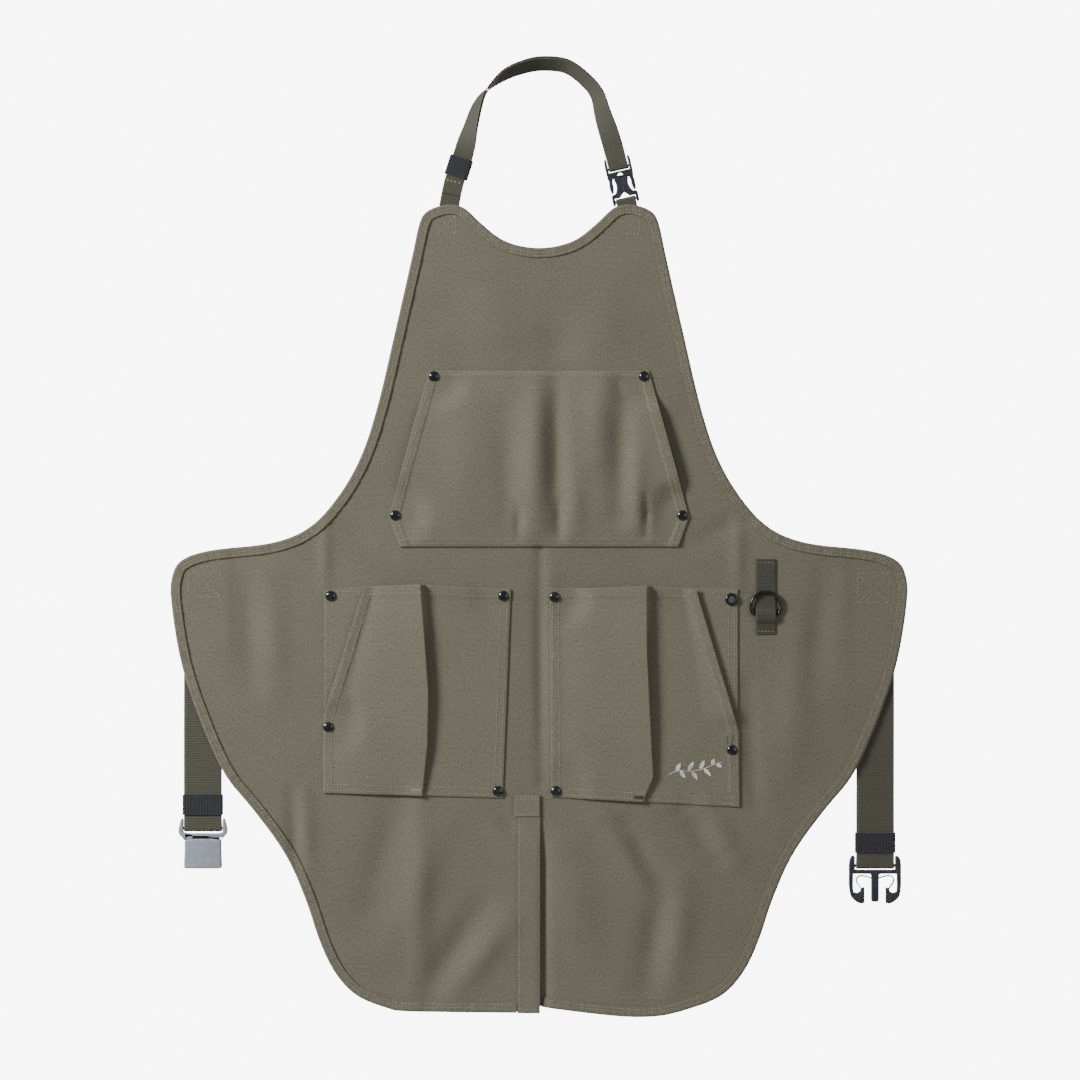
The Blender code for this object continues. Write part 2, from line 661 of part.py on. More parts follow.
def make_neck_tab(webbing):
    """Short webbing behind the right bib corner, folded over the buckle's lower bar."""
    centre, across, up = neck_buckle_axes()
    bar = centre + up * NECK_LOW_BAR
    front = Vector((0, -1, 0))
    stations = [(bar + front * NECK_WRAP_R - up * rise, across, front) for rise in (34, 0)]
    stations += turn_round_bar(bar, across, front, up, NECK_WRAP_R)
    for drop in (0, 4, 8, 12, 16, 28):
        back = between(NECK_WRAP_R, 2 * LAYER_STEP - NECK_WRAP_R, eased(drop / 16))
        stations.append((bar - up * drop - front * back, across, -front))
    place("neck_tab", ribbon(stations, NECK_WEBBING, WEBBING), webbing)


def make_neck_buckle(plastic):
    """A closed side-release buckle: the plug carries the strap, the socket hangs in the tab."""
    centre, across, up = neck_buckle_axes()
    half = NECK_BUCKLE_HALF
    window = NECK_WEBBING / 2 + 2 * GAP
    deep = NECK_BUCKLE_THICK / 2
    wrap = NECK_WRAP_R + WEBBING / 2 + 2 * GAP

    plug = mirrored([
        (window, NECK_TOP_BAR + 9.5), (half - 1.6, NECK_TOP_BAR + 10.6), (half - 0.4, NECK_TOP_BAR + 8),
        (half, NECK_TOP_BAR + 1), (half, 3), (half - 0.2, -6), (half - 1, -11.5), (half - 3, -11.5),
        (half - 2.9, -3), (half - 4.4, 3.2),
    ])
    tops = [(-window, NECK_TOP_BAR - wrap), (window, NECK_TOP_BAR - wrap)]
    body = place("neck_buckle_plug", settle(plate(plug + tops, -deep, deep), centre, across, up), plastic)
    reach = across * (window + 1.4)
    bar = centre + up * NECK_TOP_BAR
    combine(body, as_cutter("neck_top_bar", rod(bar - reach, bar + reach, NECK_BAR_R)), "UNION")
    tongue_low, tongue_high = Vector((-4.6, -1, -9)), Vector((4.6, 1, 5))
    tongue = settle(box(tongue_low, tongue_high), centre, across, up)
    combine(body, as_cutter("neck_tongue", tongue), "UNION")

    foot = NECK_LOW_BAR - 3.4
    under = NECK_LOW_BAR + wrap
    socket = mirrored([
        (half - 5.4, 2.5), (half - 5.2, -4), (half - 5, -12.4), (half - 0.8, -12.8), (half, -16),
        (half, foot), (window, foot), (window, under), (5, under), (0.4, under + 4.4),
    ])
    body = place("neck_buckle_socket", settle(plate(socket, -deep, deep), centre, across, up), plastic)
    bar = centre + up * NECK_LOW_BAR
    combine(body, as_cutter("neck_low_bar", rod(bar - reach, bar + reach, NECK_BAR_R)), "UNION")
    spare = Vector((GAP, GAP, GAP))
    room = settle(box(tongue_low - spare, tongue_high + spare), centre, across, up)
    combine(body, as_cutter("neck_tongue_room", room), "DIFFERENCE")


def sleeve_band(name, centre, across, up, half_width, depths, length, material, pivot):
    """A keeper: a band that wraps webbing lying between two depths measured from its centre."""
    front, back = depths[0] - GAP, depths[1] + GAP
    wide = half_width + GAP
    wall = Vector((KEEPER_WALL, KEEPER_WALL, -length / 2))
    low, high = Vector((-wide, front, -length)), Vector((wide, back, length))
    outer, inner = box(low - wall, high + wall), box(low, high)
    band = place(name, settle(outer, centre, across, up), material, pivot)
    cutter = as_cutter(name + "_inside", settle(inner, centre, across, up))
    combine(band, cutter, "DIFFERENCE")


def make_neck_keeper(black):
    tilt = math.radians(NECK_KEEPER_TILT)
    centre = Vector((NECK_KEEPER[0], STRAP_Y - LAYER_STEP, NECK_KEEPER[1]))
    across, up = Vector((math.cos(tilt), 0, -math.sin(tilt))), Vector((math.sin(tilt), 0, math.cos(tilt)))
    reach = LAYER_STEP + WEBBING / 2 + 0.6
    sleeve_band("neck_keeper", centre, across, up, NECK_WEBBING / 2 + 0.6, (-reach, reach),
                NECK_KEEPER_LENGTH, black, centre)


def make_waist_strap(side, bar_z, keeper_z, webbing, black):
    """Webbing sewn behind a wing, hanging straight down, round the buckle's bar and back up."""
    name = "left" if side < 0 else "right"
    x = side * WAIST_STRAP_X
    across = Vector((1, 0, 0))
    front, down = Vector((0, -1, 0)), Vector((0, 0, -1))
    root = Vector((x, STRAP_Y, STRAP_ROOT_Z))
    bar = Vector((x, STRAP_Y + WAIST_WRAP_R, bar_z))
    top = Vector((x, STRAP_Y, STRAP_ROOT_Z - STRAP_ROOT_GAP))
    stations = [(top, across, front), (bar + front * WAIST_WRAP_R, across, front)]
    stations += turn_round_bar(bar, across, front, down, WAIST_WRAP_R)
    for rise in (0, 3, 6, 9, 12, TAIL_LENGTH):
        back = between(WAIST_WRAP_R, 2 * LAYER_STEP - WAIST_WRAP_R, eased(rise / 12))
        stations.append((bar - down * rise - front * back, across, -front))
    place(f"{name}_waist_strap", ribbon(stations, WAIST_WEBBING, WEBBING), webbing, root)

    low, high = root.z + STRAP_ROOT_GAP, ANCHOR_TOP
    anchor = [((x, STRAP_Y, low), across, -front), ((x, STRAP_Y, high), across, -front)]
    anchor = [(Vector(centre), a, b) for centre, a, b in anchor]
    place(f"{name}_strap_anchor", ribbon(anchor, WAIST_WEBBING, WEBBING), webbing)

    middle = Vector((x, STRAP_Y + LAYER_STEP, keeper_z))
    reach = LAYER_STEP + WEBBING / 2
    sleeve_band(f"{name}_keeper", middle, across, -down, WAIST_WEBBING / 2, (-reach, reach),
                KEEPER_LENGTH, black, middle)
    return bar


def make_waist_socket(bar, plastic):
    """Female half: horns and a bar for the webbing above a hollow body open at the foot."""
    across, up = Vector((1, 0, 0)), Vector((0, 0, 1))
    half, deep = SOCKET_HALF, SOCKET_THICK / 2
    window = WAIST_WEBBING / 2 + 0.8
    wrap = WAIST_WRAP_R + WEBBING / 2 + 2 * GAP
    outline = mirrored([
        (window, HORN_TOP - 1), (window + 1.4, HORN_TOP), (window + 3.6, 4), (window + 4.6, -3),
        (window + 2.8, -7), (half + 0.5, -11.5), (half, -13), (half, -SOCKET_FOOT),
    ])
    inside = [(-window, -wrap), (3.2 - half, -8.2), (half - 3.2, -8.2), (window, -wrap)]
    body = settle(plate(outline + inside, -deep, deep), bar, across, up)
    body = place("left_buckle_socket", body, plastic, bar)
    reach = across * (window + 2)
    combine(body, as_cutter("left_bar", rod(bar - reach, bar + reach, WAIST_BAR_R)), "UNION")
    hollow = settle(box((3.7 - half, -2.6, -SOCKET_FOOT - 2), (half - 3.7, 2.6, -14)), bar, across, up)
    combine(body, as_cutter("socket_hollow", hollow), "DIFFERENCE")
    for side in (-1, 1):
        reach = sorted((side * (half - 5), side * (half + 2)))
        slot = settle(box((reach[0], -2.6, -30), (reach[1], 2.6, -16)), bar, across, up)
        combine(body, as_cutter(f"socket_window_{side}", slot), "DIFFERENCE")


def make_waist_plug(bar, plastic):
    """Male half: horns, crossbar and guide, with a springy barbed arm hinged at each side."""
    across, up = Vector((1, 0, 0)), Vector((0, 0, 1))
    half, deep = PLUG_HALF, PLUG_THICK / 2
    window = WAIST_WEBBING / 2 + 1.2
    wrap = WAIST_WRAP_R + WEBBING / 2 + 4 * GAP
    under = -8.2
    outline = mirrored([
        (window, HORN_TOP - 1), (window + 2.3, HORN_TOP), (half - 1.1, 6.5), (half, 1), (half, under),
        (GUIDE_HALF, under), (GUIDE_HALF, 3.7 - PLUG_FOOT), (2.5, 1.7 - PLUG_FOOT),
    ])
    inside = [(-window, -wrap), (window, -wrap)]
    body = settle(plate(outline + inside, -deep, deep), bar, across, up)
    body = place("right_buckle_plug", body, plastic, bar)
    reach = across * (window + 2)
    combine(body, as_cutter("right_bar", rod(bar - reach, bar + reach, WAIST_BAR_R)), "UNION")

    rail = half - PLUG_RAIL
    root = under - 0.8
    arm = [
        (-half, root), (-rail, root), (-rail, -24.3), (1.7 - rail, -26.7), (4.6 - rail, -27.3),
        (7.6 - rail, -24.6), (7.4 - rail, -22.8), (11 - rail, -21.4), (11 - rail, 0.6 - PLUG_FOOT),
        (7 - rail, -PLUG_FOOT), (6.4 - half, 2.3 - PLUG_FOOT), (2 - half, 7 - PLUG_FOOT),
        (0.5 - half, 13.5 - PLUG_FOOT),
    ]
    spring = smooth_through([
        (7.3 - rail, -21.9), (4 - rail, -17.3), (3.3 - rail, -13.2), (5.7 - rail, -10.8),
        (8.7 - rail, -10.1), (-4.7 - GUIDE_HALF, -11), (-GUIDE_HALF - GAP, -12.3),
    ], 2)
    thin = 1.2
    loop = inward(spring, -thin / 2) + inward(spring, thin / 2)[::-1]
    for side, name in ((-1, "left"), (1, "right")):
        hinge = bar + across * (side * (half - PLUG_RAIL / 2)) + up * (root - 0.5)
        barbed = plate([(-side * x, z) for x, z in arm], -deep, deep)
        place(f"right_buckle_{name}_arm", settle(barbed, bar, across, up), plastic, hinge)
        curled = plate([(-side * x, z) for x, z in loop], -1.6, 1.6)
        place(f"right_buckle_{name}_spring", settle(curled, bar, across, up), plastic)


def main():
    clear_scene()
    hanger = bpy.data.objects.new("hanger", None)
    hanger.location = (0, 0, -HANG_HEIGHT * MM)
    bpy.context.scene.collection.objects.link(hanger)

    canvas = finish("olive canvas", (112, 108, 93), 0.95)
    tape = finish("folded canvas tape", (104, 100, 86), 0.95)
    webbing = finish("dark olive webbing", (76, 74, 64), 0.9)
    black = finish("black elastic", (52, 52, 58), 0.85)
    plastic = finish("moulded black plastic", (48, 50, 58), 0.45)
    metal = finish("black lacquered metal", (24, 25, 32), 0.25, 0.8)

    make_canvas(canvas, tape)
    make_bib_pocket(canvas)
    make_lower_pockets(canvas)
    make_rivets(metal, (
        "apron_body", "bib_pocket", "left_pocket_front", "left_pocket_facing", "right_pocket_front",
        "right_pocket_facing",
    ))
    make_ring_tab(webbing, metal)
    make_neck_strap(webbing)
    make_neck_tab(webbing)
    make_neck_buckle(plastic)
    make_neck_keeper(black)
    left_bar = make_waist_strap(-1, LEFT_BAR_Z, LEFT_KEEPER_Z, webbing, black)
    right_bar = make_waist_strap(1, RIGHT_BAR_Z, RIGHT_KEEPER_Z, webbing, black)
    make_waist_socket(left_bar, plastic)
    make_waist_plug(right_bar, plastic)


main()
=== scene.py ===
"""Split-leg canvas work apron: cloth, tape, webbing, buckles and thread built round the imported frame.

Lengths named below are in millimetres. X runs rightwards seen from the front, -Y out of the front,
and heights in millimetres are counted up from the hem.
"""

import json
import math

import bmesh
import bpy
import numpy as np
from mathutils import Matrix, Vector, kdtree
from mathutils.bvhtree import BVHTree
from mathutils.geometry import delaunay_2d_cdt


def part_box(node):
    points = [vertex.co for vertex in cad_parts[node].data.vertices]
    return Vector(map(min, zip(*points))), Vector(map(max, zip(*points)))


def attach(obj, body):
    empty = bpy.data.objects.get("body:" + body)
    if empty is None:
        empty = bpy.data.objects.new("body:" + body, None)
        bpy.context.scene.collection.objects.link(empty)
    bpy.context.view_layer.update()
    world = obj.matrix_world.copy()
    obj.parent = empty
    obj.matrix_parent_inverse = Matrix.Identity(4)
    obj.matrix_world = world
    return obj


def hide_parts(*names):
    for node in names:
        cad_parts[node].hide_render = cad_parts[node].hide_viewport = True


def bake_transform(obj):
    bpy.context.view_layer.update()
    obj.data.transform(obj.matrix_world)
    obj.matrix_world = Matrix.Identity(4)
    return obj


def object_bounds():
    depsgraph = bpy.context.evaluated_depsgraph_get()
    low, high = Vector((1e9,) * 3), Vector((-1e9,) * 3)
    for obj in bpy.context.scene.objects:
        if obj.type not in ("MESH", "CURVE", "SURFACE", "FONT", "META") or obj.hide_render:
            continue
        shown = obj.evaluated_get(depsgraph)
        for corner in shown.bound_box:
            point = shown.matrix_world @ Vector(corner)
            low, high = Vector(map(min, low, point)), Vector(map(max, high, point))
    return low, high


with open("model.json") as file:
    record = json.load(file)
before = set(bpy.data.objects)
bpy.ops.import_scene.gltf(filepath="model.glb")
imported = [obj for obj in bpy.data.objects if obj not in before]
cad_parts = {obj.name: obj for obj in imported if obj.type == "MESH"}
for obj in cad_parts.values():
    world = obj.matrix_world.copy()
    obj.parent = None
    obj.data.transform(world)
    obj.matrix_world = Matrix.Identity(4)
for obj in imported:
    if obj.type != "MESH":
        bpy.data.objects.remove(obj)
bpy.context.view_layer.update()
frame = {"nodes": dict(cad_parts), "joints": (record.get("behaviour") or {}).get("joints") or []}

MM = 0.001
JOINTS = {joint["name"]: joint for joint in frame["joints"]}

# The hem corner's height is the zero of every height below
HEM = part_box("slit_placket")[0].z - 3 * MM
LINE = JOINTS["left_leg_swing"]["pos_m"][2]  # where the leg panels start to swing
CLOTH = 1.0  # thickness of the canvas
WEB = 1.3  # thickness of the webbing
GAP = 0.3  # free space between two layers of webbing, and round a buckle's bar
LAYER_BACK = 0.8  # back of a layer sewn to the front
STITCH_PITCH = 3.3
STITCH_LENGTH = 2.5
THREAD = 0.36  # radius of the sewing thread
ACROSS, UP = (1, 0, 0), (0, 0, 1)
FORWARD, BACKWARD = (0, -1, 0), (0, 1, 0)


def height(z):
    """Height above the hem, in millimetres, of a height in metres."""
    return (z - HEM) / MM


def level(h):
    """The height in metres of a height above the hem in millimetres."""
    return HEM + h * MM


def middle(node):
    low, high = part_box(node)
    return (low + high) / 2


def eased(t):
    t = np.clip(t, 0, 1)
    return t * t * (3 - 2 * t)


# ---------------------------------------------------------------- shader building blocks


def srgb(*colour):
    """A linear colour from one given as seen on a screen, from 0 to 255."""
    return (*((c / 255) ** 2.2 for c in colour), 1.0)


def add(tree, kind, inputs=None, **settings):
    """Adds a node; each input is either a constant or a socket to link from."""
    node = tree.nodes.new(kind)
    for name, value in settings.items():
        setattr(node, name, value)
    for name, value in (inputs or {}).items():
        if isinstance(value, bpy.types.NodeSocket):
            tree.links.new(value, node.inputs[name])
        else:
            node.inputs[name].default_value = value
    return node


def maths(tree, operation, a, b=0.0):
    return add(tree, "ShaderNodeMath", {0: a, 1: b}, operation=operation).outputs[0]


def blended(tree, share, a, b, mode="MIX"):
    """Two colours mixed by a share."""
    node = tree.nodes.new("ShaderNodeMix")
    node.data_type, node.blend_type = "RGBA", mode
    for index, value in ((0, share), (6, a), (7, b)):
        if isinstance(value, bpy.types.NodeSocket):
            tree.links.new(value, node.inputs[index])
        else:
            node.inputs[index].default_value = value
    return node.outputs[2]


def spread(tree, value, low, high, to_low=0.0, to_high=1.0):
    return add(tree, "ShaderNodeMapRange", {
        "Value": value, "From Min": low, "From Max": high, "To Min": to_low, "To Max": to_high,
    }).outputs[0]


def new_group(name, inputs, outputs):
    """An empty shader group; inputs and outputs are (name, socket kind, default) and (name, kind)."""
    group = bpy.data.node_groups.new(name, "ShaderNodeTree")
    for label, kind, default in inputs:
        socket = group.interface.new_socket(label, in_out="INPUT", socket_type="NodeSocket" + kind)
        if default is not None:
            socket.default_value = default
    for label, kind in outputs:
        group.interface.new_socket(label, in_out="OUTPUT", socket_type="NodeSocket" + kind)
    return group, group.nodes.new("NodeGroupInput"), group.nodes.new("NodeGroupOutput")


def noise(tree, vector, scale, detail=2.0, roughness=0.5):
    return add(tree, "ShaderNodeTexNoise", {
        "Vector": vector, "Scale": scale, "Detail": detail, "Roughness": roughness,
    }).outputs[0]


def stretched(tree, vector, x, y, z=1.0):
    return add(tree, "ShaderNodeMapping", {"Vector": vector, "Scale": (x, y, z)}).outputs[0]


def make_weave_group():
    """Warp and weft on a cloth whose map is in metres: relief, heathered threads and slow fading."""
    group, given, result = new_group(
        "woven threads",
        [("Vector", "Vector", None), ("Pitch", "Float", 0.0009), ("Slant", "Float", 0.5)],
        [("Relief", "Float"), ("Warp", "Float"), ("Heather", "Float"), ("Fading", "Float")],
    )
    vector, pitch = given.outputs["Vector"], given.outputs["Pitch"]
    parts = add(group, "ShaderNodeSeparateXYZ", {"Vector": vector})
    across = maths(group, "DIVIDE", parts.outputs[0], pitch)
    along = maths(group, "DIVIDE", parts.outputs[1], pitch)
    shifted = maths(group, "ADD", along, maths(group, "MULTIPLY", across, given.outputs["Slant"]))
    warp = maths(group, "SINE", maths(group, "MULTIPLY", across, 2 * math.pi))
    weft = maths(group, "SINE", maths(group, "MULTIPLY", shifted, 2 * math.pi))
    cross = maths(group, "MULTIPLY", warp, weft)
    relief = spread(group, cross, -1.0, 1.0)
    fuzz = noise(group, vector, 1400.0, 2.0)
    relief = maths(group, "ADD", relief, maths(group, "MULTIPLY", fuzz, 0.7))
    group.links.new(relief, result.inputs["Relief"])
    streak = noise(group, stretched(group, vector, 520, 26), 1.0, 3.0, 0.6)
    group.links.new(spread(group, streak, 0.34, 0.66), result.inputs["Warp"])
    heather = noise(group, stretched(group, vector, 900, 420), 1.0, 3.0, 0.7)
    group.links.new(spread(group, heather, 0.3, 0.7), result.inputs["Heather"])
    cloud = noise(group, vector, 14.0, 3.0, 0.6)
    group.links.new(spread(group, cloud, 0.3, 0.7), result.inputs["Fading"])
    return group


def make_rub_group():
    """Where handling has rubbed a piece: its marked edges, broken up by a fine noise."""
    group, given, result = new_group(
        "rubbed edges",
        [("Vector", "Vector", None), ("Edge", "Float", 0.0), ("Amount", "Float", 0.5)],
        [("Rub", "Float")],
    )
    vector = given.outputs["Vector"]
    patchy = spread(group, noise(group, vector, 260.0, 4.0, 0.65), 0.35, 0.65)
    rub = maths(group, "MULTIPLY", given.outputs["Edge"], patchy)
    group.links.new(maths(group, "MULTIPLY", rub, given.outputs["Amount"]), result.inputs["Rub"])
    return group


def make_moulded_group():
    """Fine spark-eroded grain and faint scuffs of a moulding, or of lacquer."""
    group, given, result = new_group(
        "moulded surface",
        [("Vector", "Vector", None), ("Grain", "Float", 1500.0)],
        [("Relief", "Float"), ("Scuff", "Float")],
    )
    vector = given.outputs["Vector"]
    grain = noise(group, vector, given.outputs["Grain"], 2.0, 0.6)
    group.links.new(grain, result.inputs["Relief"])
    scuff = noise(group, stretched(group, vector, 240, 90, 160), 1.0, 4.0, 0.7)
    group.links.new(spread(group, scuff, 0.5, 0.72), result.inputs["Scuff"])
    return group


WEAVE = make_weave_group()
RUB = make_rub_group()
MOULDED = make_moulded_group()


def new_material(name, roughness, metallic=0.0, sheen=0.0):
    material = bpy.data.materials.new(name)
    material.use_nodes = True
    shader = material.node_tree.nodes["Principled BSDF"]
    shader.inputs["Roughness"].default_value = roughness
    shader.inputs["Metallic"].default_value = metallic
    if sheen:
        shader.inputs["Sheen Weight"].default_value = sheen
        shader.inputs["Sheen Roughness"].default_value = 0.5
    return material, material.node_tree, shader


def use_group(tree, group, **inputs):
    node = add(tree, "ShaderNodeGroup", node_tree=group)
    for name, value in inputs.items():
        socket = node.inputs[name.replace("_", " ").title()]
        if isinstance(value, bpy.types.NodeSocket):
            tree.links.new(value, socket)
        else:
            socket.default_value = value
    return node


def emboss(tree, shader, strength, distance, relief):
    bump = add(tree, "ShaderNodeBump", {"Strength": strength, "Distance": distance, "Height": relief})
    tree.links.new(bump.outputs[0], shader.inputs["Normal"])


def rub_share(tree, vector, amount):
    """How far the marked edges of a piece are rubbed."""
    edge = add(tree, "ShaderNodeAttribute", attribute_name="edge").outputs["Fac"]
    return use_group(tree, RUB, vector=vector, edge=edge, amount=amount).outputs["Rub"]


def cloth_map(tree):
    return add(tree, "ShaderNodeUVMap", uv_map="cloth").outputs[0]


BROWN_WARP, PALE_WEFT = (118, 103, 88), (134, 131, 112)


def canvas_finish(name, base, pitch=0.00095, bump=0.35):
    """Washed canvas: olive threads heathered with brown warp and pale weft, rubbed along its edges, with
    painted shade where the weave's relief is low between the threads.
    """
    material, tree, shader = new_material(name, 0.93, sheen=0.08)
    vector = cloth_map(tree)
    weave = use_group(tree, WEAVE, vector=vector, pitch=pitch, slant=0.5)
    rub = rub_share(tree, vector, 0.55)
    dark = srgb(*(c * 0.74 for c in base))
    colour = blended(tree, weave.outputs["Heather"], dark, srgb(*(c * 1.19 for c in base)))
    warp = maths(tree, "MULTIPLY", weave.outputs["Warp"], 0.34)
    colour = blended(tree, warp, colour, srgb(*BROWN_WARP))
    fade = maths(tree, "MULTIPLY", weave.outputs["Fading"], 0.13)
    colour = blended(tree, fade, colour, srgb(*PALE_WEFT))
    colour = blended(tree, rub, colour, srgb(*PALE_WEFT))
    # Painted shade in the weave: the colour darkens where the relief is low, between the threads, and
    # lightens a little on the crests.
    dip = spread(tree, weave.outputs["Relief"], 0.1, 0.75, 0.84, 1.04)
    colour = blended(tree, 1.0, colour, dip, "MULTIPLY")
    tree.links.new(colour, shader.inputs["Base Color"])
    rough = spread(tree, weave.outputs["Heather"], 0.0, 1.0, 0.97, 0.86)
    tree.links.new(rough, shader.inputs["Roughness"])
    emboss(tree, shader, bump, 0.0004, weave.outputs["Relief"])
    return material


def webbing_finish(name, base, rib=0.0017, bump=0.7):
    """Ribbed webbing: crosswise ribs of twisted yarn, coloured darker in the rib hollows and lighter on the
    crests as painted shade and painted highlight, rubbed paler along its selvedges.
    """
    material, tree, shader = new_material(name, 0.85, sheen=0.1)
    vector = cloth_map(tree)
    parts = add(tree, "ShaderNodeSeparateXYZ", {"Vector": vector})
    weave = use_group(tree, WEAVE, vector=vector, pitch=rib * 0.8, slant=0.5)
    ribs = maths(tree, "SINE", maths(tree, "MULTIPLY", parts.outputs[1], 2 * math.pi / rib))
    yarn = maths(tree, "SINE", maths(tree, "MULTIPLY", parts.outputs[0], 2 * math.pi / (rib * 0.6)))
    ribs = spread(tree, ribs, -1.0, 1.0)
    relief = maths(tree, "ADD", ribs, maths(tree, "MULTIPLY", yarn, 0.14))
    relief = maths(tree, "ADD", relief, maths(tree, "MULTIPLY", weave.outputs["Relief"], 0.4))
    rub = rub_share(tree, vector, 0.5)
    # Painted shade and highlight: darker in the hollows between the ribs and lighter on their crests,
    # following the relief.
    colour = blended(tree, ribs, srgb(*(c * 0.72 for c in base)), srgb(*(c * 1.12 for c in base)))
    colour = blended(tree, maths(tree, "MULTIPLY", weave.outputs["Heather"], 0.35), colour,
                     srgb(*(c * 1.25 for c in base)))
    colour = blended(tree, rub, colour, srgb(*(min(c * 1.5, 255) for c in base)))
    tree.links.new(colour, shader.inputs["Base Color"])
    tree.links.new(spread(tree, ribs, 0.0, 1.0, 0.95, 0.78), shader.inputs["Roughness"])
    emboss(tree, shader, bump, 0.0005, relief)
    return material


def hard_finish(name, base, worn, roughness, metallic=0.0, grain=1500.0, bump=0.15, coat=0.0):
    """Moulded plastic or lacquer, slightly scuffed where it has been handled."""
    material, tree, shader = new_material(name, roughness, metallic)
    shader.inputs["Coat Weight"].default_value = coat
    shader.inputs["Coat Roughness"].default_value = 0.12
    vector = add(tree, "ShaderNodeTexCoord").outputs["Object"]
    surface = use_group(tree, MOULDED, vector=vector, grain=grain)
    rub = rub_share(tree, vector, 0.6)
    scuffed = maths(tree, "MULTIPLY", surface.outputs["Scuff"], 0.35)
    worn_share = maths(tree, "MAXIMUM", scuffed, rub)
    colour = blended(tree, worn_share, srgb(*base), srgb(*worn))
    colour = blended(tree, maths(tree, "MULTIPLY", surface.outputs["Relief"], 0.25), colour, srgb(*worn))
    tree.links.new(colour, shader.inputs["Base Color"])
    rough = spread(tree, surface.outputs["Scuff"], 0.0, 1.0, roughness, roughness + 0.2)
    tree.links.new(rough, shader.inputs["Roughness"])
    emboss(tree, shader, bump, 0.0002, surface.outputs["Relief"])
    return material


def thread_finish(name, base):
    """Twisted sewing thread with a little sheen, paler and darker from stitch to stitch."""
    material, tree, shader = new_material(name, 0.7, sheen=0.2)
    vector = add(tree, "ShaderNodeTexCoord").outputs["Object"]
    tone = spread(tree, noise(tree, vector, 240.0, 2.0), 0.3, 0.7)
    colour = blended(tree, tone, srgb(*(c * 0.78 for c in base)), srgb(*(min(c * 1.15, 255) for c in base)))
    tree.links.new(colour, shader.inputs["Base Color"])
    twist = add(tree, "ShaderNodeTexWave", {"Vector": vector, "Scale": 900.0, "Distortion": 1.0})
    emboss(tree, shader, 0.4, 0.0002, twist.outputs["Fac"])
    return material


BIB_CANVAS = canvas_finish("olive canvas", (102, 101, 86))
POCKET_CANVAS = canvas_finish("pocket canvas", (109, 108, 92), bump=0.45)
TAPE_CANVAS = canvas_finish("folded canvas tape", (99, 98, 84), pitch=0.0008, bump=0.3)
WEBBING = webbing_finish("dark olive webbing", (79, 77, 66))
TAB_WEBBING = webbing_finish("olive tab webbing", (70, 69, 60), rib=0.0018)
ELASTIC = webbing_finish("black elastic", (47, 47, 53), rib=0.0016, bump=0.9)
PLASTIC = hard_finish("black moulded plastic", (36, 37, 44), (96, 101, 112), 0.34, bump=0.2)
GREY_PLASTIC = hard_finish(
    "grey moulded plastic", (140, 148, 158), (196, 202, 210), 0.42, grain=1100.0, bump=0.9)
LACQUER = hard_finish("black lacquered metal", (9, 10, 16), (70, 74, 84), 0.16, 0.35, coat=0.8)
RING_METAL = hard_finish("black ring wire", (26, 27, 34), (120, 124, 132), 0.24, 0.8, coat=0.3)
MATTE_METAL = hard_finish("grey rivet centre", (72, 72, 74), (120, 120, 120), 0.6, 0.4)
KHAKI_THREAD = thread_finish("khaki thread", (148, 142, 108))
DARK_THREAD = thread_finish("dark thread", (66, 64, 54))
PALE_THREAD = thread_finish("white embroidery thread", (232, 230, 222))


# ---------------------------------------------------------------- mesh building blocks


def shown(name, mesh, material, sharp):
    """A smooth-shaded object in the scene; edges bent by more than sharp degrees stay hard."""
    mesh.materials.append(material)
    mesh.shade_smooth()
    mesh.set_sharp_from_angle(angle=math.radians(sharp))
    obj = bpy.data.objects.new(name, mesh)
    bpy.context.scene.collection.objects.link(obj)
    return obj


def new_object(name, verts, faces, material, uvs=None, edge=None, sharp=40):
    """A mesh object; uvs and edge are per vertex."""
    mesh = bpy.data.meshes.new(name)
    mesh.from_pydata([tuple(map(float, v)) for v in verts], [], [tuple(map(int, f)) for f in faces])
    if uvs is not None:
        layer = mesh.uv_layers.new(name="cloth")
        loops = np.empty(len(mesh.loops), np.int32)
        mesh.loops.foreach_get("vertex_index", loops)
        layer.data.foreach_set("uv", np.asarray(uvs, np.float32)[loops].ravel())
    if edge is not None:
        mark = mesh.attributes.new("edge", "FLOAT", "POINT")
        mark.data.foreach_set("value", np.asarray(edge, np.float32))
    return shown(name, mesh, material, sharp)


def from_bmesh(name, shape, material, sharp=40):
    mesh = bpy.data.meshes.new(name)
    bmesh.ops.recalc_face_normals(shape, faces=shape.faces)
    shape.to_mesh(mesh)
    shape.free()
    return shown(name, mesh, material, sharp)


def loops_of(node):
    """Outlines, longest first, of a flat node's front face as arrays of (x, z) in metres."""
    mesh = frame["nodes"][node].data
    spot = [(round(v.co.x, 6), round(v.co.z, 6)) for v in mesh.vertices]
    sides = set()
    for face in mesh.polygons:
        if face.normal.y < -0.9:
            corners = [spot[i] for i in face.vertices]
            sides.update(zip(corners, corners[1:] + corners[:1]))
    following = {}
    for a, b in sides:
        if a != b and (b, a) not in sides:
            following.setdefault(a, []).append(b)
    found = []
    while following:
        start = min(following)
        loop, here = [start], start
        while following.get(here):
            there = following[here].pop()
            if not following[here]:
                del following[here]
            here = there
            if here == start:
                break
            loop.append(here)
        following.pop(here, None)
        if len(loop) > 2:
            found.append(np.array(loop))
    return sorted(found, key=lambda loop: -np.abs(area(loop)))


def area(loop):
    x, z = loop[:, 0], loop[:, 1]
    return 0.5 * float(np.sum(x * np.roll(z, -1) - np.roll(x, -1) * z))


def inside(loop, points):
    """Which points lie inside a closed outline."""
    x, z = points[:, 0], points[:, 1]
    held = np.zeros(len(points), bool)
    for (x1, z1), (x2, z2) in zip(loop, np.roll(loop, -1, axis=0)):
        if z1 == z2:
            continue
        crosses = (z1 > z) != (z2 > z)
        held ^= crosses & (x < (x2 - x1) * (z - z1) / (z2 - z1) + x1)
    return held


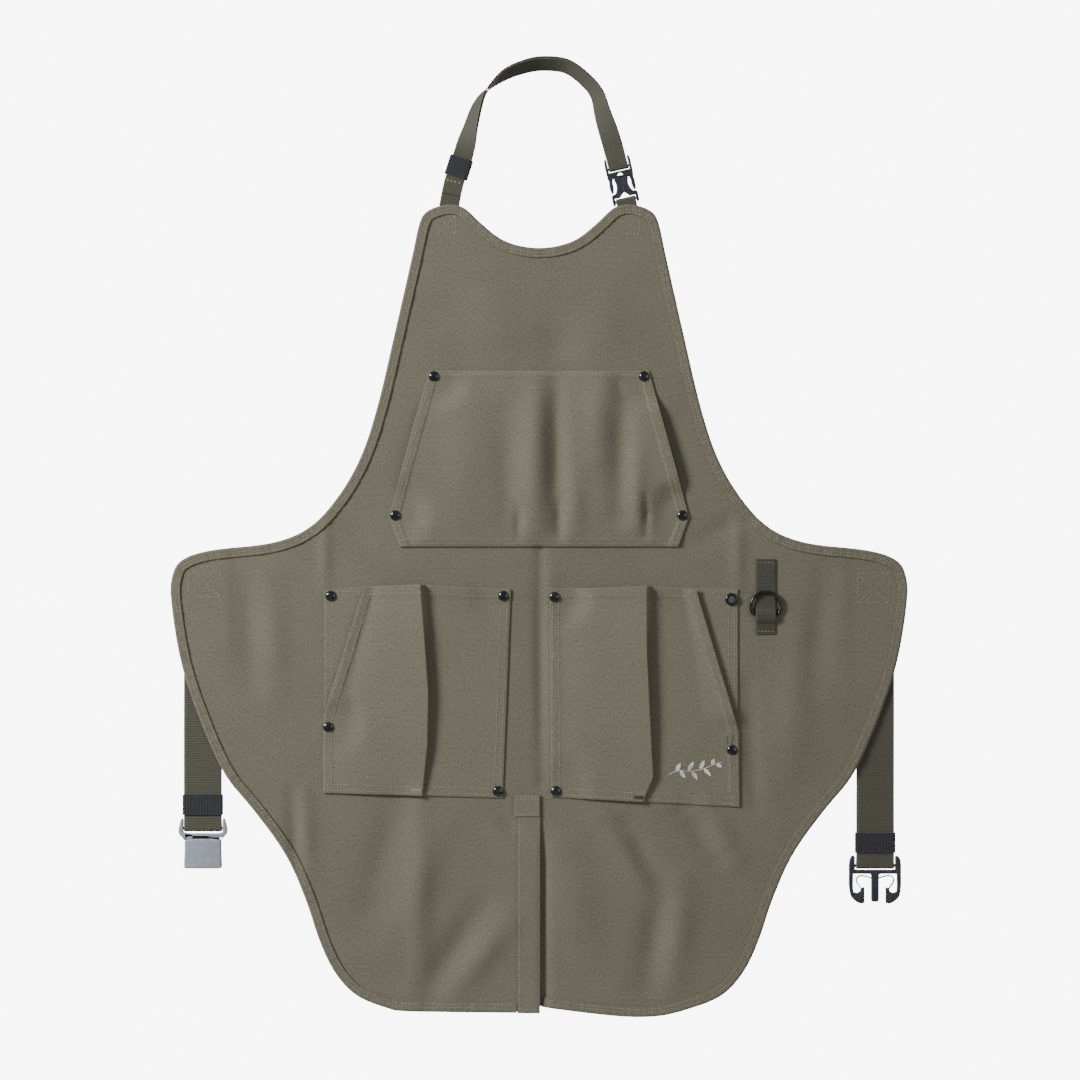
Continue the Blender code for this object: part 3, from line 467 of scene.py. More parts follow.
def closely(path, step, closed=True):
    """A path with points no further apart than step; its own points stay."""
    made = []
    pairs = zip(path, np.roll(path, -1, axis=0)) if closed else zip(path[:-1], path[1:])
    for a, b in pairs:
        count = max(1, int(math.ceil(np.linalg.norm(b - a) / step)))
        made += [a + (b - a) * k / count for k in range(count)]
    if not closed:
        made.append(path[-1])
    return np.array(made)


def reach_along(path):
    """How far along an open path each of its points lies."""
    return np.concatenate([[0], np.cumsum(np.linalg.norm(np.diff(path, axis=0), axis=1))])


def evenly(path, step):
    """An open path resampled to an even step."""
    path = np.asarray(path, float)
    reach = reach_along(path)
    count = max(2, int(round(reach[-1] / step)) + 1)
    wanted = np.linspace(0, reach[-1], count)
    return np.stack([np.interp(wanted, reach, path[:, k]) for k in range(path.shape[1])], axis=1)


def rounded(points, steps):
    """A smooth curve through the points of an open path."""
    points = np.asarray(points, float)
    made = []
    last = len(points) - 1
    for i in range(last):
        a, b = points[max(i - 1, 0)], points[i]
        c, d = points[i + 1], points[min(i + 2, last)]
        for k in range(steps):
            t = k / steps
            made.append(0.5 * (2 * b + (c - a) * t + (2 * a - 5 * b + 4 * c - d) * t * t
                               + (3 * b - a - 3 * c + d) * t ** 3))
    made.append(points[last])
    return np.array(made)


def distances(points, loop):
    """From each point to the nearest point of an outline."""
    tree = kdtree.KDTree(len(loop))
    for i, (a, b) in enumerate(loop):
        tree.insert((a, b, 0), i)
    tree.balance()
    return np.array([tree.find((a, b, 0))[2] for a, b in points])


def flat_mesh(loop, step):
    """Points and triangles that fill a closed outline, whose points come first."""
    low, high = loop.min(0), loop.max(0)
    x, z = np.meshgrid(np.arange(low[0], high[0], step), np.arange(low[1], high[1], step))
    x = x + (np.arange(len(x)) % 2)[:, None] * step / 2
    grid = np.stack([x.ravel(), z.ravel()], axis=1)
    grid = grid[inside(loop, grid)]
    if len(grid):
        grid = grid[distances(grid, loop) > 0.62 * step]
    every = [Vector(p) for p in np.concatenate([loop, grid])]
    ring = [(i, (i + 1) % len(loop)) for i in range(len(loop))]
    verts, _, faces, _, _, _ = delaunay_2d_cdt(every, ring, [list(range(len(loop)))], 1, 1e-7)
    return np.array([tuple(v) for v in verts]), np.array([tuple(f) for f in faces])


def edge_nearness(points, loop, reach):
    """1 on the outline, fading to 0 at reach inside it."""
    return 1 - eased(distances(points, loop) / reach)


def thickened(points, faces, front, back):
    """Closes a sheet: front and back surfaces at the given depths and walls along its open edges.

    points are (x, z); front and back are y per point. The faces come out with the front first.
    """
    count = len(points)
    a, b, c = points[faces[:, 0]], points[faces[:, 1]], points[faces[:, 2]]
    turn = (b[:, 0] - a[:, 0]) * (c[:, 1] - a[:, 1]) - (b[:, 1] - a[:, 1]) * (c[:, 0] - a[:, 0])
    faces = np.where((turn > 0)[:, None], faces, faces[:, ::-1])
    sides = np.concatenate([faces[:, [0, 1]], faces[:, [1, 2]], faces[:, [2, 0]]])
    known = {(p, q) for p, q in sides}
    rim = [(p, q) for p, q in known if (q, p) not in known]
    rim.sort()
    verts = np.concatenate([
        np.stack([points[:, 0], front, points[:, 1]], axis=1),
        np.stack([points[:, 0], back, points[:, 1]], axis=1),
    ])
    every = [tuple(f) for f in faces] + [tuple(f[::-1] + count) for f in faces]
    every += [(q, p, p + count, q + count) for p, q in rim]
    return verts, every


def swept(rings, closed=False):
    """Vertices and faces of a skin over rings of equal count."""
    rings = np.asarray(rings, float)
    rows, count = rings.shape[:2]
    faces = []
    last = rows if closed else rows - 1
    for i in range(last):
        low, high = i * count, ((i + 1) % rows) * count
        for j in range(count):
            k = (j + 1) % count
            faces.append((low + j, high + j, high + k, low + k))
    if not closed:
        faces.append(tuple(range(count)))
        faces.append(tuple(range((rows - 1) * count, rows * count))[::-1])
    return rings.reshape(-1, 3), faces


def facing_out(obj):
    """Turns every face of a closed mesh outwards."""
    shape = bmesh.new()
    shape.from_mesh(obj.data)
    bmesh.ops.recalc_face_normals(shape, faces=shape.faces)
    shape.to_mesh(obj.data)
    shape.free()
    return obj


def surface_of(obj):
    return BVHTree.FromObject(obj, bpy.context.evaluated_depsgraph_get())


def laid_on(surface, path, front=True, fallback=0.0):
    """A path of (x, z) laid on a surface, as (x, y, z)."""
    start, way = (-0.2, 1) if front else (0.2, -1)
    made = []
    for x, z in path:
        hit = surface.ray_cast(Vector((x, start, z)), Vector((0, way, 0)), 0.4)[0]
        made.append((x, hit.y if hit else fallback, z))
    return np.array(made)


# ---------------------------------------------------------------- stitching


def threads(name, made, material, radius=THREAD, sink=0.1):
    """Single stitches as short spindles that dip into the cloth; each is (start, middle, end, facing)."""
    sides = 5
    turns = 2 * math.pi * np.arange(sides) / sides
    bulge = ((-0.5, 0.25, -0.55), (-0.36, 0.9, 0.1), (0.0, 1.0, 0.3), (0.36, 0.9, 0.1), (0.5, 0.25, -0.55))
    start, here, end, facing = (np.array([m[k] for m in made], float) for k in range(4))
    run = end - start
    long = np.maximum(np.linalg.norm(run, axis=1), 1e-9)[:, None]
    along = run / long
    out = facing - along * np.sum(facing * along, axis=1)[:, None]
    out /= np.maximum(np.linalg.norm(out, axis=1), 1e-9)[:, None]
    side = np.cross(along, out)
    rings = []
    for share, wide, rise in bulge:
        centre = here + run * share + out * (rise - sink) * radius * MM
        offset = np.cos(turns)[None, :, None] * side[:, None] + np.sin(turns)[None, :, None] * out[:, None]
        rings.append(centre[:, None] + offset * radius * wide * MM)
    verts = np.stack(rings, axis=1).reshape(-1, 3)
    one = []
    for i in range(len(bulge) - 1):
        for j in range(sides):
            k = (j + 1) % sides
            one.append((i * sides + j, i * sides + k, (i + 1) * sides + k, (i + 1) * sides + j))
    last = (len(bulge) - 1) * sides
    ends = [tuple(range(sides))[::-1], tuple(range(last, last + sides))]
    faces = []
    for base in range(0, len(verts), sides * len(bulge)):
        faces += [tuple(base + i for i in face) for face in one + ends]
    return facing_out(new_object(name, verts, faces, material, sharp=80))


def stitches(name, rows, material, radius=THREAD, sink=0.1):
    """Rows of stitches in relief: each row is a path of points with the way that the cloth faces."""
    made = []
    for path, facing in rows:
        path = np.asarray(path, float)
        reach = reach_along(path)
        count = int(reach[-1] / (STITCH_PITCH * MM))
        centres = (np.arange(count) + 0.5) * reach[-1] / max(count, 1)
        for s in centres:
            marks = (s - STITCH_LENGTH * MM / 2, s, s + STITCH_LENGTH * MM / 2)
            made.append((*([np.interp(m, reach, path[:, k]) for k in range(3)] for m in marks), facing))
    return threads(name, made, material, radius, sink)


# ---------------------------------------------------------------- how the cloth lies

# Soft folds pressed or hung into the canvas: both ends as (x, height), half width, rise to the front
FOLDS = (
    ((-214, 492), (-214, 428), 6, 0.9), ((-246, 222), (-242, 140), 7, -1.3),
    ((-236, 225), (-231, 150), 9, 1.1), ((199, 498), (199, 428), 6, 0.9), ((209, 330), (216, 210), 9, -1.2),
    ((1, 466), (3, 232), 5, -1.6), ((12, 440), (13, 250), 9, 0.9), ((-118, 222), (-122, 16), 13, 1.5),
    ((-142, 215), (-168, 110), 17, -1.4), ((-32, 92), (-84, 28), 14, 2.0), ((-58, 108), (-112, 22), 15, -2.1),
    ((-96, 190), (-146, 70), 18, 1.2), ((-40, 205), (-20, 180), 8, -0.9), ((60, 196), (122, 122), 12, 1.5),
    ((88, 190), (124, 118), 10, -1.5), ((124, 122), (110, 34), 15, -2.3), ((140, 130), (134, 40), 16, 1.9),
    ((144, 204), (178, 160), 11, -1.4), ((168, 208), (196, 158), 12, 1.3), ((30, 170), (46, 60), 20, 1.2),
    ((19, 695), (20, 650), 20, -1.1), ((-40, 740), (-46, 655), 26, 0.8), ((70, 745), (64, 655), 24, 0.7),
    ((-270, 440), (-262, 330), 16, 1.3), ((-292, 430), (-286, 330), 13, -1.0),
    ((262, 380), (252, 250), 18, 1.3), ((286, 440), (272, 330), 14, -1.2),
    ((-214, 505), (-150, 470), 10, -0.8), ((150, 470), (214, 505), 10, -0.8),
)
FOLD_DEPTH = 1.9
SWAYS = ((71, 160, 0.4, 0.7), (118, -97, 1.9, 0.55), (-53, 230, 3.1, 0.3), (190, 61, 5.0, 0.3))
STRAP_X = middle("right_strap_anchor").x / MM


def fold_rise(x, h, folds):
    """How far a list of folds lifts the cloth at (x, height), in millimetres."""
    total = np.zeros(np.shape(x))
    for (x0, h0), (x1, h1), wide, rise in folds:
        run_x, run_h = x1 - x0, h1 - h0
        t = ((x - x0) * run_x + (h - h0) * run_h) / (run_x ** 2 + run_h ** 2)
        near = np.clip(t, 0, 1)
        away = np.hypot(x - x0 - near * run_x, h - h0 - near * run_h)
        fading = np.sin(np.pi * np.clip(t, 0.12, 0.88)) ** 0.6
        total = total + rise * FOLD_DEPTH * np.exp(-(away / wide) ** 2) * fading
    return total


def drape(x, h):
    """How far the whole apron lies forward at (x, height), in millimetres."""
    x, h = np.asarray(x, float), np.asarray(h, float)
    total = fold_rise(x, h, FOLDS)
    for across, up, shift, size in SWAYS:
        total = total + size * np.sin(x / across + h / up + shift)
    beside_strap = eased((34 - np.abs(np.abs(x) - STRAP_X)) / 12)
    total = total * (1 - 0.85 * beside_strap)
    open_slit = eased((height(LINE) - h) / 60)
    return total + 0.8 * np.exp(-(x / 16) ** 2) * open_slit * (x < 0.1)


def tucked(x, h):
    """How far the right leg sinks behind the placket beside the slit, in millimetres."""
    return -4.0 * np.exp(-(np.maximum(x, 0) / 9) ** 2) * eased((height(LINE) - h) / 60)


def forward(x, h, lift):
    """The y in metres of a point that stands lift millimetres in front of the middle of the canvas."""
    return -(lift + drape(x, h)) * MM


# ---------------------------------------------------------------- canvas


def lined(loop, step):
    """An outline with close points; along the leg line they stand at the same places on every piece."""
    made = []
    for a, b in zip(loop, np.roll(loop, -1, axis=0)):
        if abs(a[1] - LINE) < 1e-7 and abs(b[1] - LINE) < 1e-7:
            low, high = sorted((a[0], b[0]))
            marks = np.arange(math.ceil(low / step), math.floor(high / step) + 1) * step
            marks = marks[(marks > low + step * 0.3) & (marks < high - step * 0.3)]
            made.append(a[None])
            marks = marks if b[0] > a[0] else marks[::-1]
            made.append(np.stack([marks, np.full(len(marks), LINE)], axis=1))
        else:
            count = max(1, int(math.ceil(np.linalg.norm(b - a) / step)))
            made.append(a + (b - a) * (np.arange(count) / count)[:, None])
    return np.concatenate(made)


def softly(outline):
    """Takes the facets off a closed outline; real corners and the leg line stay."""
    for _ in range(2):
        before, after = np.roll(outline, 1, axis=0), np.roll(outline, -1, axis=0)
        run_in, run_out = outline - before, after - outline
        turn = np.abs(run_in[:, 0] * run_out[:, 1] - run_in[:, 1] * run_out[:, 0])
        turn /= np.linalg.norm(run_in, axis=1) * np.linalg.norm(run_out, axis=1)
        hard = (turn > 0.7) | (outline[:, 1] == LINE)
        made = []
        for i in range(len(outline)):
            if hard[i] or turn[i] < 0.01:
                made.append(outline[i])
            else:
                made += [outline[i] - run_in[i] * 0.25, outline[i] + run_out[i] * 0.25]
        outline = np.array(made)
    return outline


def canvas_outlines():
    """The outlines of the upper apron and of both legs, which meet on the leg line."""
    outlines = []
    for node in ("apron_body", "left_leg", "right_leg"):
        loop = loops_of(node)[0].copy()
        loop[np.abs(loop[:, 1] - LINE) < 3 * MM, 1] = LINE
        outlines.append(loop if area(loop) > 0 else loop[::-1])
    body = outlines[0]
    for leg, side in ((outlines[1], -1), (outlines[2], 1)):
        mine = np.flatnonzero(leg[:, 1] == LINE)
        theirs = np.flatnonzero(body[:, 1] == LINE)
        mine = mine[np.argmax(leg[mine, 0] * side)]
        theirs = theirs[np.argmax(body[theirs, 0] * side)]
        meet = (leg[mine, 0] + body[theirs, 0]) / 2
        leg[mine, 0] = body[theirs, 0] = meet
    return [softly(outline) for outline in outlines]


BODY_OUTLINE, LEFT_OUTLINE, RIGHT_OUTLINE = canvas_outlines()
UNDERLAP = 6.0  # how far the right leg's edge reaches in behind the placket
CANVAS_STEP = 4.5 * MM


def canvas_panel(name, outline, material):
    if name == "right_leg_canvas":
        outline = outline.copy()
        inner = outline[:, 0] < 2 * MM
        x, z = outline[inner].T
        outline[inner, 0] = np.where(z < LINE - MM, x - UNDERLAP * MM, -0.8 * MM)
    loop = lined(outline, CANVAS_STEP)
    points, faces = flat_mesh(loop, CANVAS_STEP)
    x, h = points[:, 0] / MM, height(points[:, 1])
    sunk = tucked(x, h) if name == "right_leg_canvas" else 0
    front, back = forward(x, h, CLOTH / 2 + sunk), forward(x, h, sunk - CLOTH / 2)
    verts, every = thickened(points, faces, front, back)
    near = edge_nearness(points, closely(outline, CANVAS_STEP), 0.006) * 0.3
    near[np.abs(points[:, 1] - LINE) < 0.01] = 0
    maps = np.concatenate([points, points])
    return new_object(name, verts, every, material, maps, np.concatenate([near, near]))


def across_leg_line(obj):
    """Bakes the placement of a piece that lies across the leg line into its mesh."""
    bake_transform(obj)
    return obj


def make_canvas():
    body = canvas_panel("bib_and_waist_canvas", BODY_OUTLINE, BIB_CANVAS)
    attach(body, "apron")
    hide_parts("apron_body")
    for name, outline, leg in (
        ("left_leg_canvas", LEFT_OUTLINE, "left_leg"), ("right_leg_canvas", RIGHT_OUTLINE, "right_leg"),
    ):
        panel = across_leg_line(canvas_panel(name, outline, BIB_CANVAS))
        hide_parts(leg)


# ---------------------------------------------------------------- tape round the cut edge


def open_at_line(outline):
    """The outline as an open path that starts and ends where it meets the leg line."""
    on = outline[:, 1] == LINE
    count = len(outline)
    start = next(i for i in range(count) if on[i] and not on[(i + 1) % count])
    path = [outline[start]]
    for k in range(1, count):
        path.append(outline[(start + k) % count])
        if on[(start + k) % count]:
            break
    return np.array(path)


def moved_out(path, distance):
    """A counterclockwise path moved outwards; ends on the leg line stay level."""
    run = np.gradient(path, axis=0)
    run /= np.linalg.norm(run, axis=1)[:, None]
    made = path + np.stack([run[:, 1], -run[:, 0]], axis=1) * distance
    for end in (0, -1):
        if abs(path[end, 1] - LINE) < 1e-7:
            made[end] = path[end] + np.array([distance / run[end, 1], 0])
    return made


# Section of the folded tape: reach in from the fold and depth in front, from the inner edge to the fold
TAPE_SECTION = (
    (10.0, 0.72), (9.95, 1.4), (9.6, 1.8), (8.9, 1.86), (8.0, 1.62), (7.1, 1.84), (6.0, 1.88),
    (5.0, 1.66), (4.0, 1.9), (2.6, 2.0), (1.4, 1.85), (0.5, 1.35), (0.05, 0.7),
)
TAPE_ROWS = (8.0, 5.0)  # how far in from the fold the two seams run
TAPE_STEP = 2.4  # spacing of the tape's sections
TAPE_OVERHANG = 1.2  # how far the fold stands out past the canvas


def tape_path(outline, clip=None):
    path = closely(open_at_line(outline), 2 * MM, closed=False)
    if clip is not None:
        path = path[clip(path)]
    path = evenly(path, TAPE_STEP * MM)
    return moved_out(path, TAPE_OVERHANG * MM)


def tape_rings(path, sunk):
    steps = np.arange(len(path))
    pucker = 0.1 * np.sin(steps * 1.9) + 0.12 * np.sin(steps * 0.61 + 1.0) * np.sin(steps * 0.17)
    section = list(TAPE_SECTION) + [(r, -d) for r, d in TAPE_SECTION[::-1]]
    section += [(9.9, -0.62), (1.4, -0.6), (1.4, 0.6), (9.9, 0.62)]
    lines = []
    for reach, depth in section:
        line = moved_out(path, -reach * MM)
        x, h = line[:, 0] / MM, height(line[:, 1])
        lift = depth * (1 + (pucker if abs(depth) > 0.7 else 0)) + sunk(x, h)
        lines.append(np.stack([line[:, 0], forward(x, h, lift), line[:, 1]], axis=1))
    return np.stack(lines, axis=1), section


def make_tape():
    whole = (
        ("body_tape", BODY_OUTLINE, None, "apron", "body_binding"),
        ("left_leg_tape", LEFT_OUTLINE, lambda p: p[:, 0] < -22 * MM, "left_leg", "left_leg_binding"),
        ("right_leg_tape", RIGHT_OUTLINE, lambda p: p[:, 0] > 0.9 * MM, "right_leg", "right_leg_binding"),
    )
    for name, outline, clip, body, node in whole:
        path = tape_path(outline, clip)
        sunk = tucked if body == "right_leg" else (lambda x, h: 0)
        rings, section = tape_rings(path, sunk)
        verts, faces = swept(rings)
        along = np.arange(len(path)) * TAPE_STEP * MM
        maps = np.stack(np.broadcast_arrays(
            along[:, None], np.array([r for r, _ in section])[None] * MM), axis=2).reshape(-1, 2)
        edge = np.array([0.9 if r < 1.2 else 0.15 for r, _ in section])
        edge = np.broadcast_to(edge, (len(path), len(section))).ravel()
        tape = facing_out(new_object(name, verts, faces, TAPE_CANVAS, maps, edge))
        seams = []
        for reach in TAPE_ROWS:
            line = moved_out(path, -reach * MM)
            x, h = line[:, 0] / MM, height(line[:, 1])
            for lift, facing in ((1.64, FORWARD), (-1.64, BACKWARD)):
                y = forward(x, h, lift + sunk(x, h))
                seams.append((np.stack([line[:, 0], y, line[:, 1]], axis=1), facing))
        seam = stitches(name + "_stitching", seams, KHAKI_THREAD)
        for piece in (tape, seam):
            if body == "apron":
                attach(piece, body)
            else:
                across_leg_line(piece)
        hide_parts(node)


# ---------------------------------------------------------------- flat patches of canvas


def patch(name, outline, back, front, material, step=3.0):
    """A flat layer of cloth between two lifts in front of the canvas."""
    loop = closely(np.asarray(outline, float), step * MM)
    points, faces = flat_mesh(loop, step * MM)
    x, h = points[:, 0] / MM, height(points[:, 1])
    near = edge_nearness(points, closely(np.asarray(outline, float), MM), 0.004)
    verts, every = thickened(points, faces, forward(x, h, front), forward(x, h, back))
    maps = np.concatenate([points, points])
    return new_object(name, verts, every, material, maps, np.concatenate([near, near]) * 0.6)


def corners(left, right, foot, top):
    """A counterclockwise box outline from x in metres and heights in millimetres."""
    return [(left, level(foot)), (right, level(foot)), (right, level(top)), (left, level(top))]


def make_placket():
    """Strip that covers the slit, and the box of stitching at its head."""
    low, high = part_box("slit_placket")
    tack_low, tack_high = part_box("slit_tack")
    foot, top = height(low.z), height(tack_high.z)
    outline = corners(low.x, high.x + MM, foot, top - 0.5)
    strip = patch("slit_placket_strip", outline, LAYER_BACK, 2.1, BIB_CANVAS)
    tack_foot = top - 21
    outline = corners(tack_low.x, tack_high.x + 0.4 * MM, tack_foot, top)
    tack = patch("slit_tack_box", outline, 2.15, 3.0, POCKET_CANVAS)
    surface, tack_surface = surface_of(strip), surface_of(tack)
    left, right = low.x + 2 * MM, high.x - 2 * MM
    rows = [
        evenly([(left, level(foot + 3)), (left, level(tack_foot - 1))], MM),
        evenly([(left, level(foot + 4)), (right, level(foot + 4))], MM),
    ]
    rows = [(laid_on(surface, row), FORWARD) for row in rows]
    left, right = tack_low.x + 1.8 * MM, tack_high.x - 1.4 * MM
    box_rows = [
        ((left, top - 2), (right, top - 2)), ((left, top - 4.6), (right, top - 4.6)),
        ((left, tack_foot + 1.5), (right, tack_foot + 1.5)), ((left, tack_foot + 1.5), (left, top - 2)),
        ((right, tack_foot + 1.5), (right, top - 2)),
    ]
    for (x0, h0), (x1, h1) in box_rows:
        row = evenly([(x0, level(h0)), (x1, level(h1))], MM)
        rows.append((laid_on(tack_surface, row), FORWARD))
    seam = stitches("slit_placket_stitching", rows, KHAKI_THREAD)
    for piece in (strip, tack, seam):
        across_leg_line(piece)
    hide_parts("slit_placket")
    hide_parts("slit_tack")


# ---------------------------------------------------------------- pockets


def spots_of(prefix):
    """The (x, height) of each rivet in a group, in millimetres."""
    centres = [middle(f"{prefix}_rivet_{number}") for number in range(1, 5)]
    return [(c.x / MM, height(c.z)) for c in centres]


def flat_near(spots, x, h, seat=17.0):
    """0 where a rivet holds the cloth down, rising to 1 away from it."""
    away = np.min([np.hypot(x - sx, h - sh) for sx, sh in spots], axis=0)
    return eased((away - seat) / 24)


def width_at(node):
    """A function that gives the (left, right) x in millimetres of a node at a height."""
    mesh = frame["nodes"][node].data
    verts = np.array([v.co for v in mesh.vertices])
    edges = np.array([e.vertices for e in mesh.edges])
    a, b = verts[edges[:, 0]], verts[edges[:, 1]]

    def span(h):
        low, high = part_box(node)
        z = min(max(level(h), low.z + 1e-5), high.z - 1e-5)
        cut = (a[:, 2] - z) * (b[:, 2] - z) <= 0
        cut &= np.abs(a[:, 2] - b[:, 2]) > 1e-9
        share = (z - a[cut, 2]) / (b[cut, 2] - a[cut, 2])
        x = a[cut, 0] + share * (b[cut, 0] - a[cut, 0])
        return x.min() / MM, x.max() / MM
    return span


def spaced(total, close=(0, 0.4, 1.6, 3.5, 6, 9.4, 10.6, 12.5), step=3.0):
    """Distances from 0 to total: close together at both ends, even between them."""
    first, last = close[-1], total - close[-1]
    between_them = np.linspace(first, last, max(2, int((last - first) / step) + 1))[1:-1]
    return np.concatenate([close, between_them, total - np.array(close[::-1])])


def cloth_from_grid(name, front, back, maps, material, edge):
    """A closed layer of cloth from front and back grids of points."""
    rows, columns = front.shape[:2]
    count = rows * columns
    front, back = front.copy(), back.copy()
    rim = np.zeros((rows, columns, 1))
    for line in (rim[0], rim[-1], rim[:, 0], rim[:, -1]):
        line[:] = 0.3
    front, back = front + (back - front) * rim, back + (front - back) * rim
    verts = np.concatenate([front.reshape(-1, 3), back.reshape(-1, 3)])
    index = np.arange(count).reshape(rows, columns)
    a, b, c, d = index[:-1, :-1], index[:-1, 1:], index[1:, 1:], index[1:, :-1]
    faces = np.stack([a, d, c, b], axis=2).reshape(-1, 4)
    every = [tuple(f) for f in faces] + [tuple(f[::-1] + count) for f in faces]
    rim = np.concatenate([index[0], index[1:, -1], index[-1, -2::-1], index[-2:0:-1, 0]])
    for p, q in zip(rim, np.roll(rim, -1)):
        every.append((p, q, q + count, p + count))
    maps = np.concatenate([maps.reshape(-1, 2)] * 2)
    return facing_out(new_object(name, verts, every, material, maps, np.concatenate([edge.ravel()] * 2)))


BIB_FOLDS = (
    ((-3, 640), (-5, 486), 13, 2.0), ((17, 646), (18, 484), 10, -2.3), ((60, 640), (57, 560), 15, 1.5),
    ((84, 630), (80, 500), 12, -2.0), ((-34, 600), (-30, 484), 13, -1.0), ((-70, 610), (-78, 500), 20, 0.9),
    ((-20, 506), (-20, 478), 4, -1.2), ((20, 512), (20, 478), 4, -1.4), ((107, 520), (107, 480), 3.5, -1.6),
    ((36, 540), (36, 486), 10, 1.0), ((98, 560), (97, 490), 9, 1.2),
)


EDGE_BAND = 12.5  # columns this near a side of the bib pocket run along its slant


def make_bib_pocket():
    low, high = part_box("bib_pocket")
    foot, top = height(low.z), height(high.z)
    spots, span = spots_of("bib"), width_at("bib_pocket")
    stand = (low.y + LAYER_BACK * MM + CLOTH * MM) / -MM  # how far the middle of the pocket stands off
    downs = spaced(top - foot, close=(0, 0.4, 1.6, 4, 6.4, 8, 10, 12.5))
    chamfer = 0.83 * (top - foot)
    downs[np.argmin(np.abs(downs - chamfer))] = chamfer
    columns = spaced(2 * high.x / MM)
    front, back, edge = [], [], []
    for down in downs:
        h = top - down
        left, right = span(h)
        share = columns / columns[-1]
        from_side = np.minimum(columns, columns[-1] - columns)
        beside = np.where(share < 0.5, left + from_side, right - from_side)
        inner = eased((from_side - EDGE_BAND) / 20)
        between_sides = (left + (right - left) * share) * inner + (1 - inner) * beside
        x = np.where(from_side > EDGE_BAND, between_sides, beside)
        rise = math.sin(math.pi * min(max(down / (top - foot), 0), 1)) ** 0.5
        lift = stand * rise * flat_near(spots, x, h)
        lift = lift + fold_rise(x, np.full(len(x), h), BIB_FOLDS) * min(rise * 1.4, 1)
        dips = sum(np.exp(-(np.hypot(x - sx, h - sh) / 7) ** 2) for sx, sh in spots)
        lift = np.maximum(lift, 0) - 0.15 * dips
        from_edge = np.minimum(from_side, min(top - h, 99))
        hem = 0.45 * np.maximum(1 - eased((from_side - 9.6) / 1.0), 1 - eased((top - h - 6) / 1.4))
        front.append(np.stack([x * MM, forward(x, h, LAYER_BACK + CLOTH + lift + hem),
                               np.full(len(x), level(h))], axis=1))
        back.append(np.stack([x * MM, forward(x, h, LAYER_BACK + lift), np.full(len(x), level(h))], axis=1))
        edge.append(np.where(from_edge < 1.0, 0.9, np.where(np.abs(from_side - 10) < 1, 0.3, 0.05)))
    front, back, edge = np.array(front), np.array(back), np.array(edge)
    pocket = cloth_from_grid("bib_pocket_cloth", front, back, front[:, :, [0, 2]], POCKET_CANVAS, edge)
    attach(pocket, "apron")
    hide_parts("bib_pocket")

    surface = surface_of(pocket)
    rows = [[(span(top - 4)[0] + 3, top - 4), (span(top - 4)[1] - 3, top - 4)]]
    for inset in (4.0, 9.0):
        for side, sign in ((0, 1), (1, -1)):
            heights = np.linspace(top - 6, top - chamfer - 1, 12)
            rows.append([(span(h)[side] + sign * inset, h) for h in heights])
    for inset in (3.0, 8.0):
        knee, end = top - chamfer, foot + inset
        rows.append([
            (span(knee)[0] + inset, knee - 1), (span(end)[0] + inset, end),
            (span(end)[1] - inset, end), (span(knee)[1] - inset, knee - 1),
        ])
    laid = [(laid_on(surface, evenly([(x * MM, level(h)) for x, h in row], MM)), FORWARD) for row in rows]
    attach(stitches("bib_pocket_stitching", laid, KHAKI_THREAD), "apron")


PLEAT_STACK = 1.35  # spacing of the folded layers in a pleat
PLEAT_TUCK = 13.0  # how far the pleat is folded back under itself
PLEAT_RISE = 9.5  # how far the open pleat stands off the apron at the top
POCKET_LIFT = 3.4
MOUTH_SHARE = 0.647  # share of the pocket's height that the slanted mouth takes
MOUTH = {"left": 0, "right": 1}  # which end of the pocket's rows is the mouth
# Where the pleat's fold runs, as x by height from the foot up
FOLD_PATHS = {
    "left": ((-117, -112, -111, -115, -119), (222, 270, 323, 380, 432)),
    "right": ((104, 113.5, 112, 110, 107, 107), (212, 236, 258, 300, 364, 432)),
}
FOOT_SLOPE = {"left": 5.0, "right": 10.0}


def pleated_row(left, right, crease, down, lift_left, lift_right, hold, proud, flat):
    """One level of a pleated pocket seen from above, as x and lift of the middle of the cloth.

    The cloth rises from the left seam to the fold, doubles back under it and runs on to the right.
    """
    fold = left + crease * (right - left)
    rise = PLEAT_RISE * (1 - down ** 2.2) + 2 * PLEAT_STACK * down
    tuck = -4 + (PLEAT_TUCK + 4) * float(eased(down / 0.5))
    second = max(0.5 * rise, PLEAT_STACK)
    radius = PLEAT_STACK / 2
    close = float(eased(tuck / 5))
    swell = np.sin(np.pi / 2 * proud) ** 1.3 + 0.1 * np.sin(2 * np.pi * proud)
    stack = 2 * PLEAT_STACK * eased((proud - 1) * (fold - left) / 18 + 1)
    x = left + proud * (fold - left)
    lift = np.maximum(np.maximum(rise * swell * hold[0], stack), lift_left)
    rim = lift[-1]
    turn = np.linspace(0, math.pi, 7)[1:-1]
    x = np.concatenate([x, fold + np.sin(turn) * radius])
    lift = np.concatenate([lift, rim - radius + np.cos(turn) * radius])
    share = np.linspace(0, 1, 7)
    x = np.concatenate([x, fold - share * tuck])
    lift = np.concatenate([lift, rim - PLEAT_STACK + (second - rim + PLEAT_STACK) * eased(share)])
    low = second - PLEAT_STACK * close
    x = np.concatenate([x, fold - tuck - np.sin(turn) * radius * close])
    lift = np.concatenate([lift, (second + low) / 2 + np.cos(turn) * (second - low) / 2])
    rest = 0.32 * rise * (1 - down) * (1 - flat) ** 0.8
    rest = np.maximum(rest * hold[1], lift_right)
    share = np.linspace(0, 1, 7)[1:]
    ahead = fold + 5.0
    x = np.concatenate([x, fold - tuck + share * (tuck + 5.0)])
    lift = np.concatenate([lift, low + (rest[0] - low) * eased(share)])
    x = np.concatenate([x, ahead + flat[1:] * (right - ahead)])
    lift = np.concatenate([lift, rest[1:]])
    return x, lift


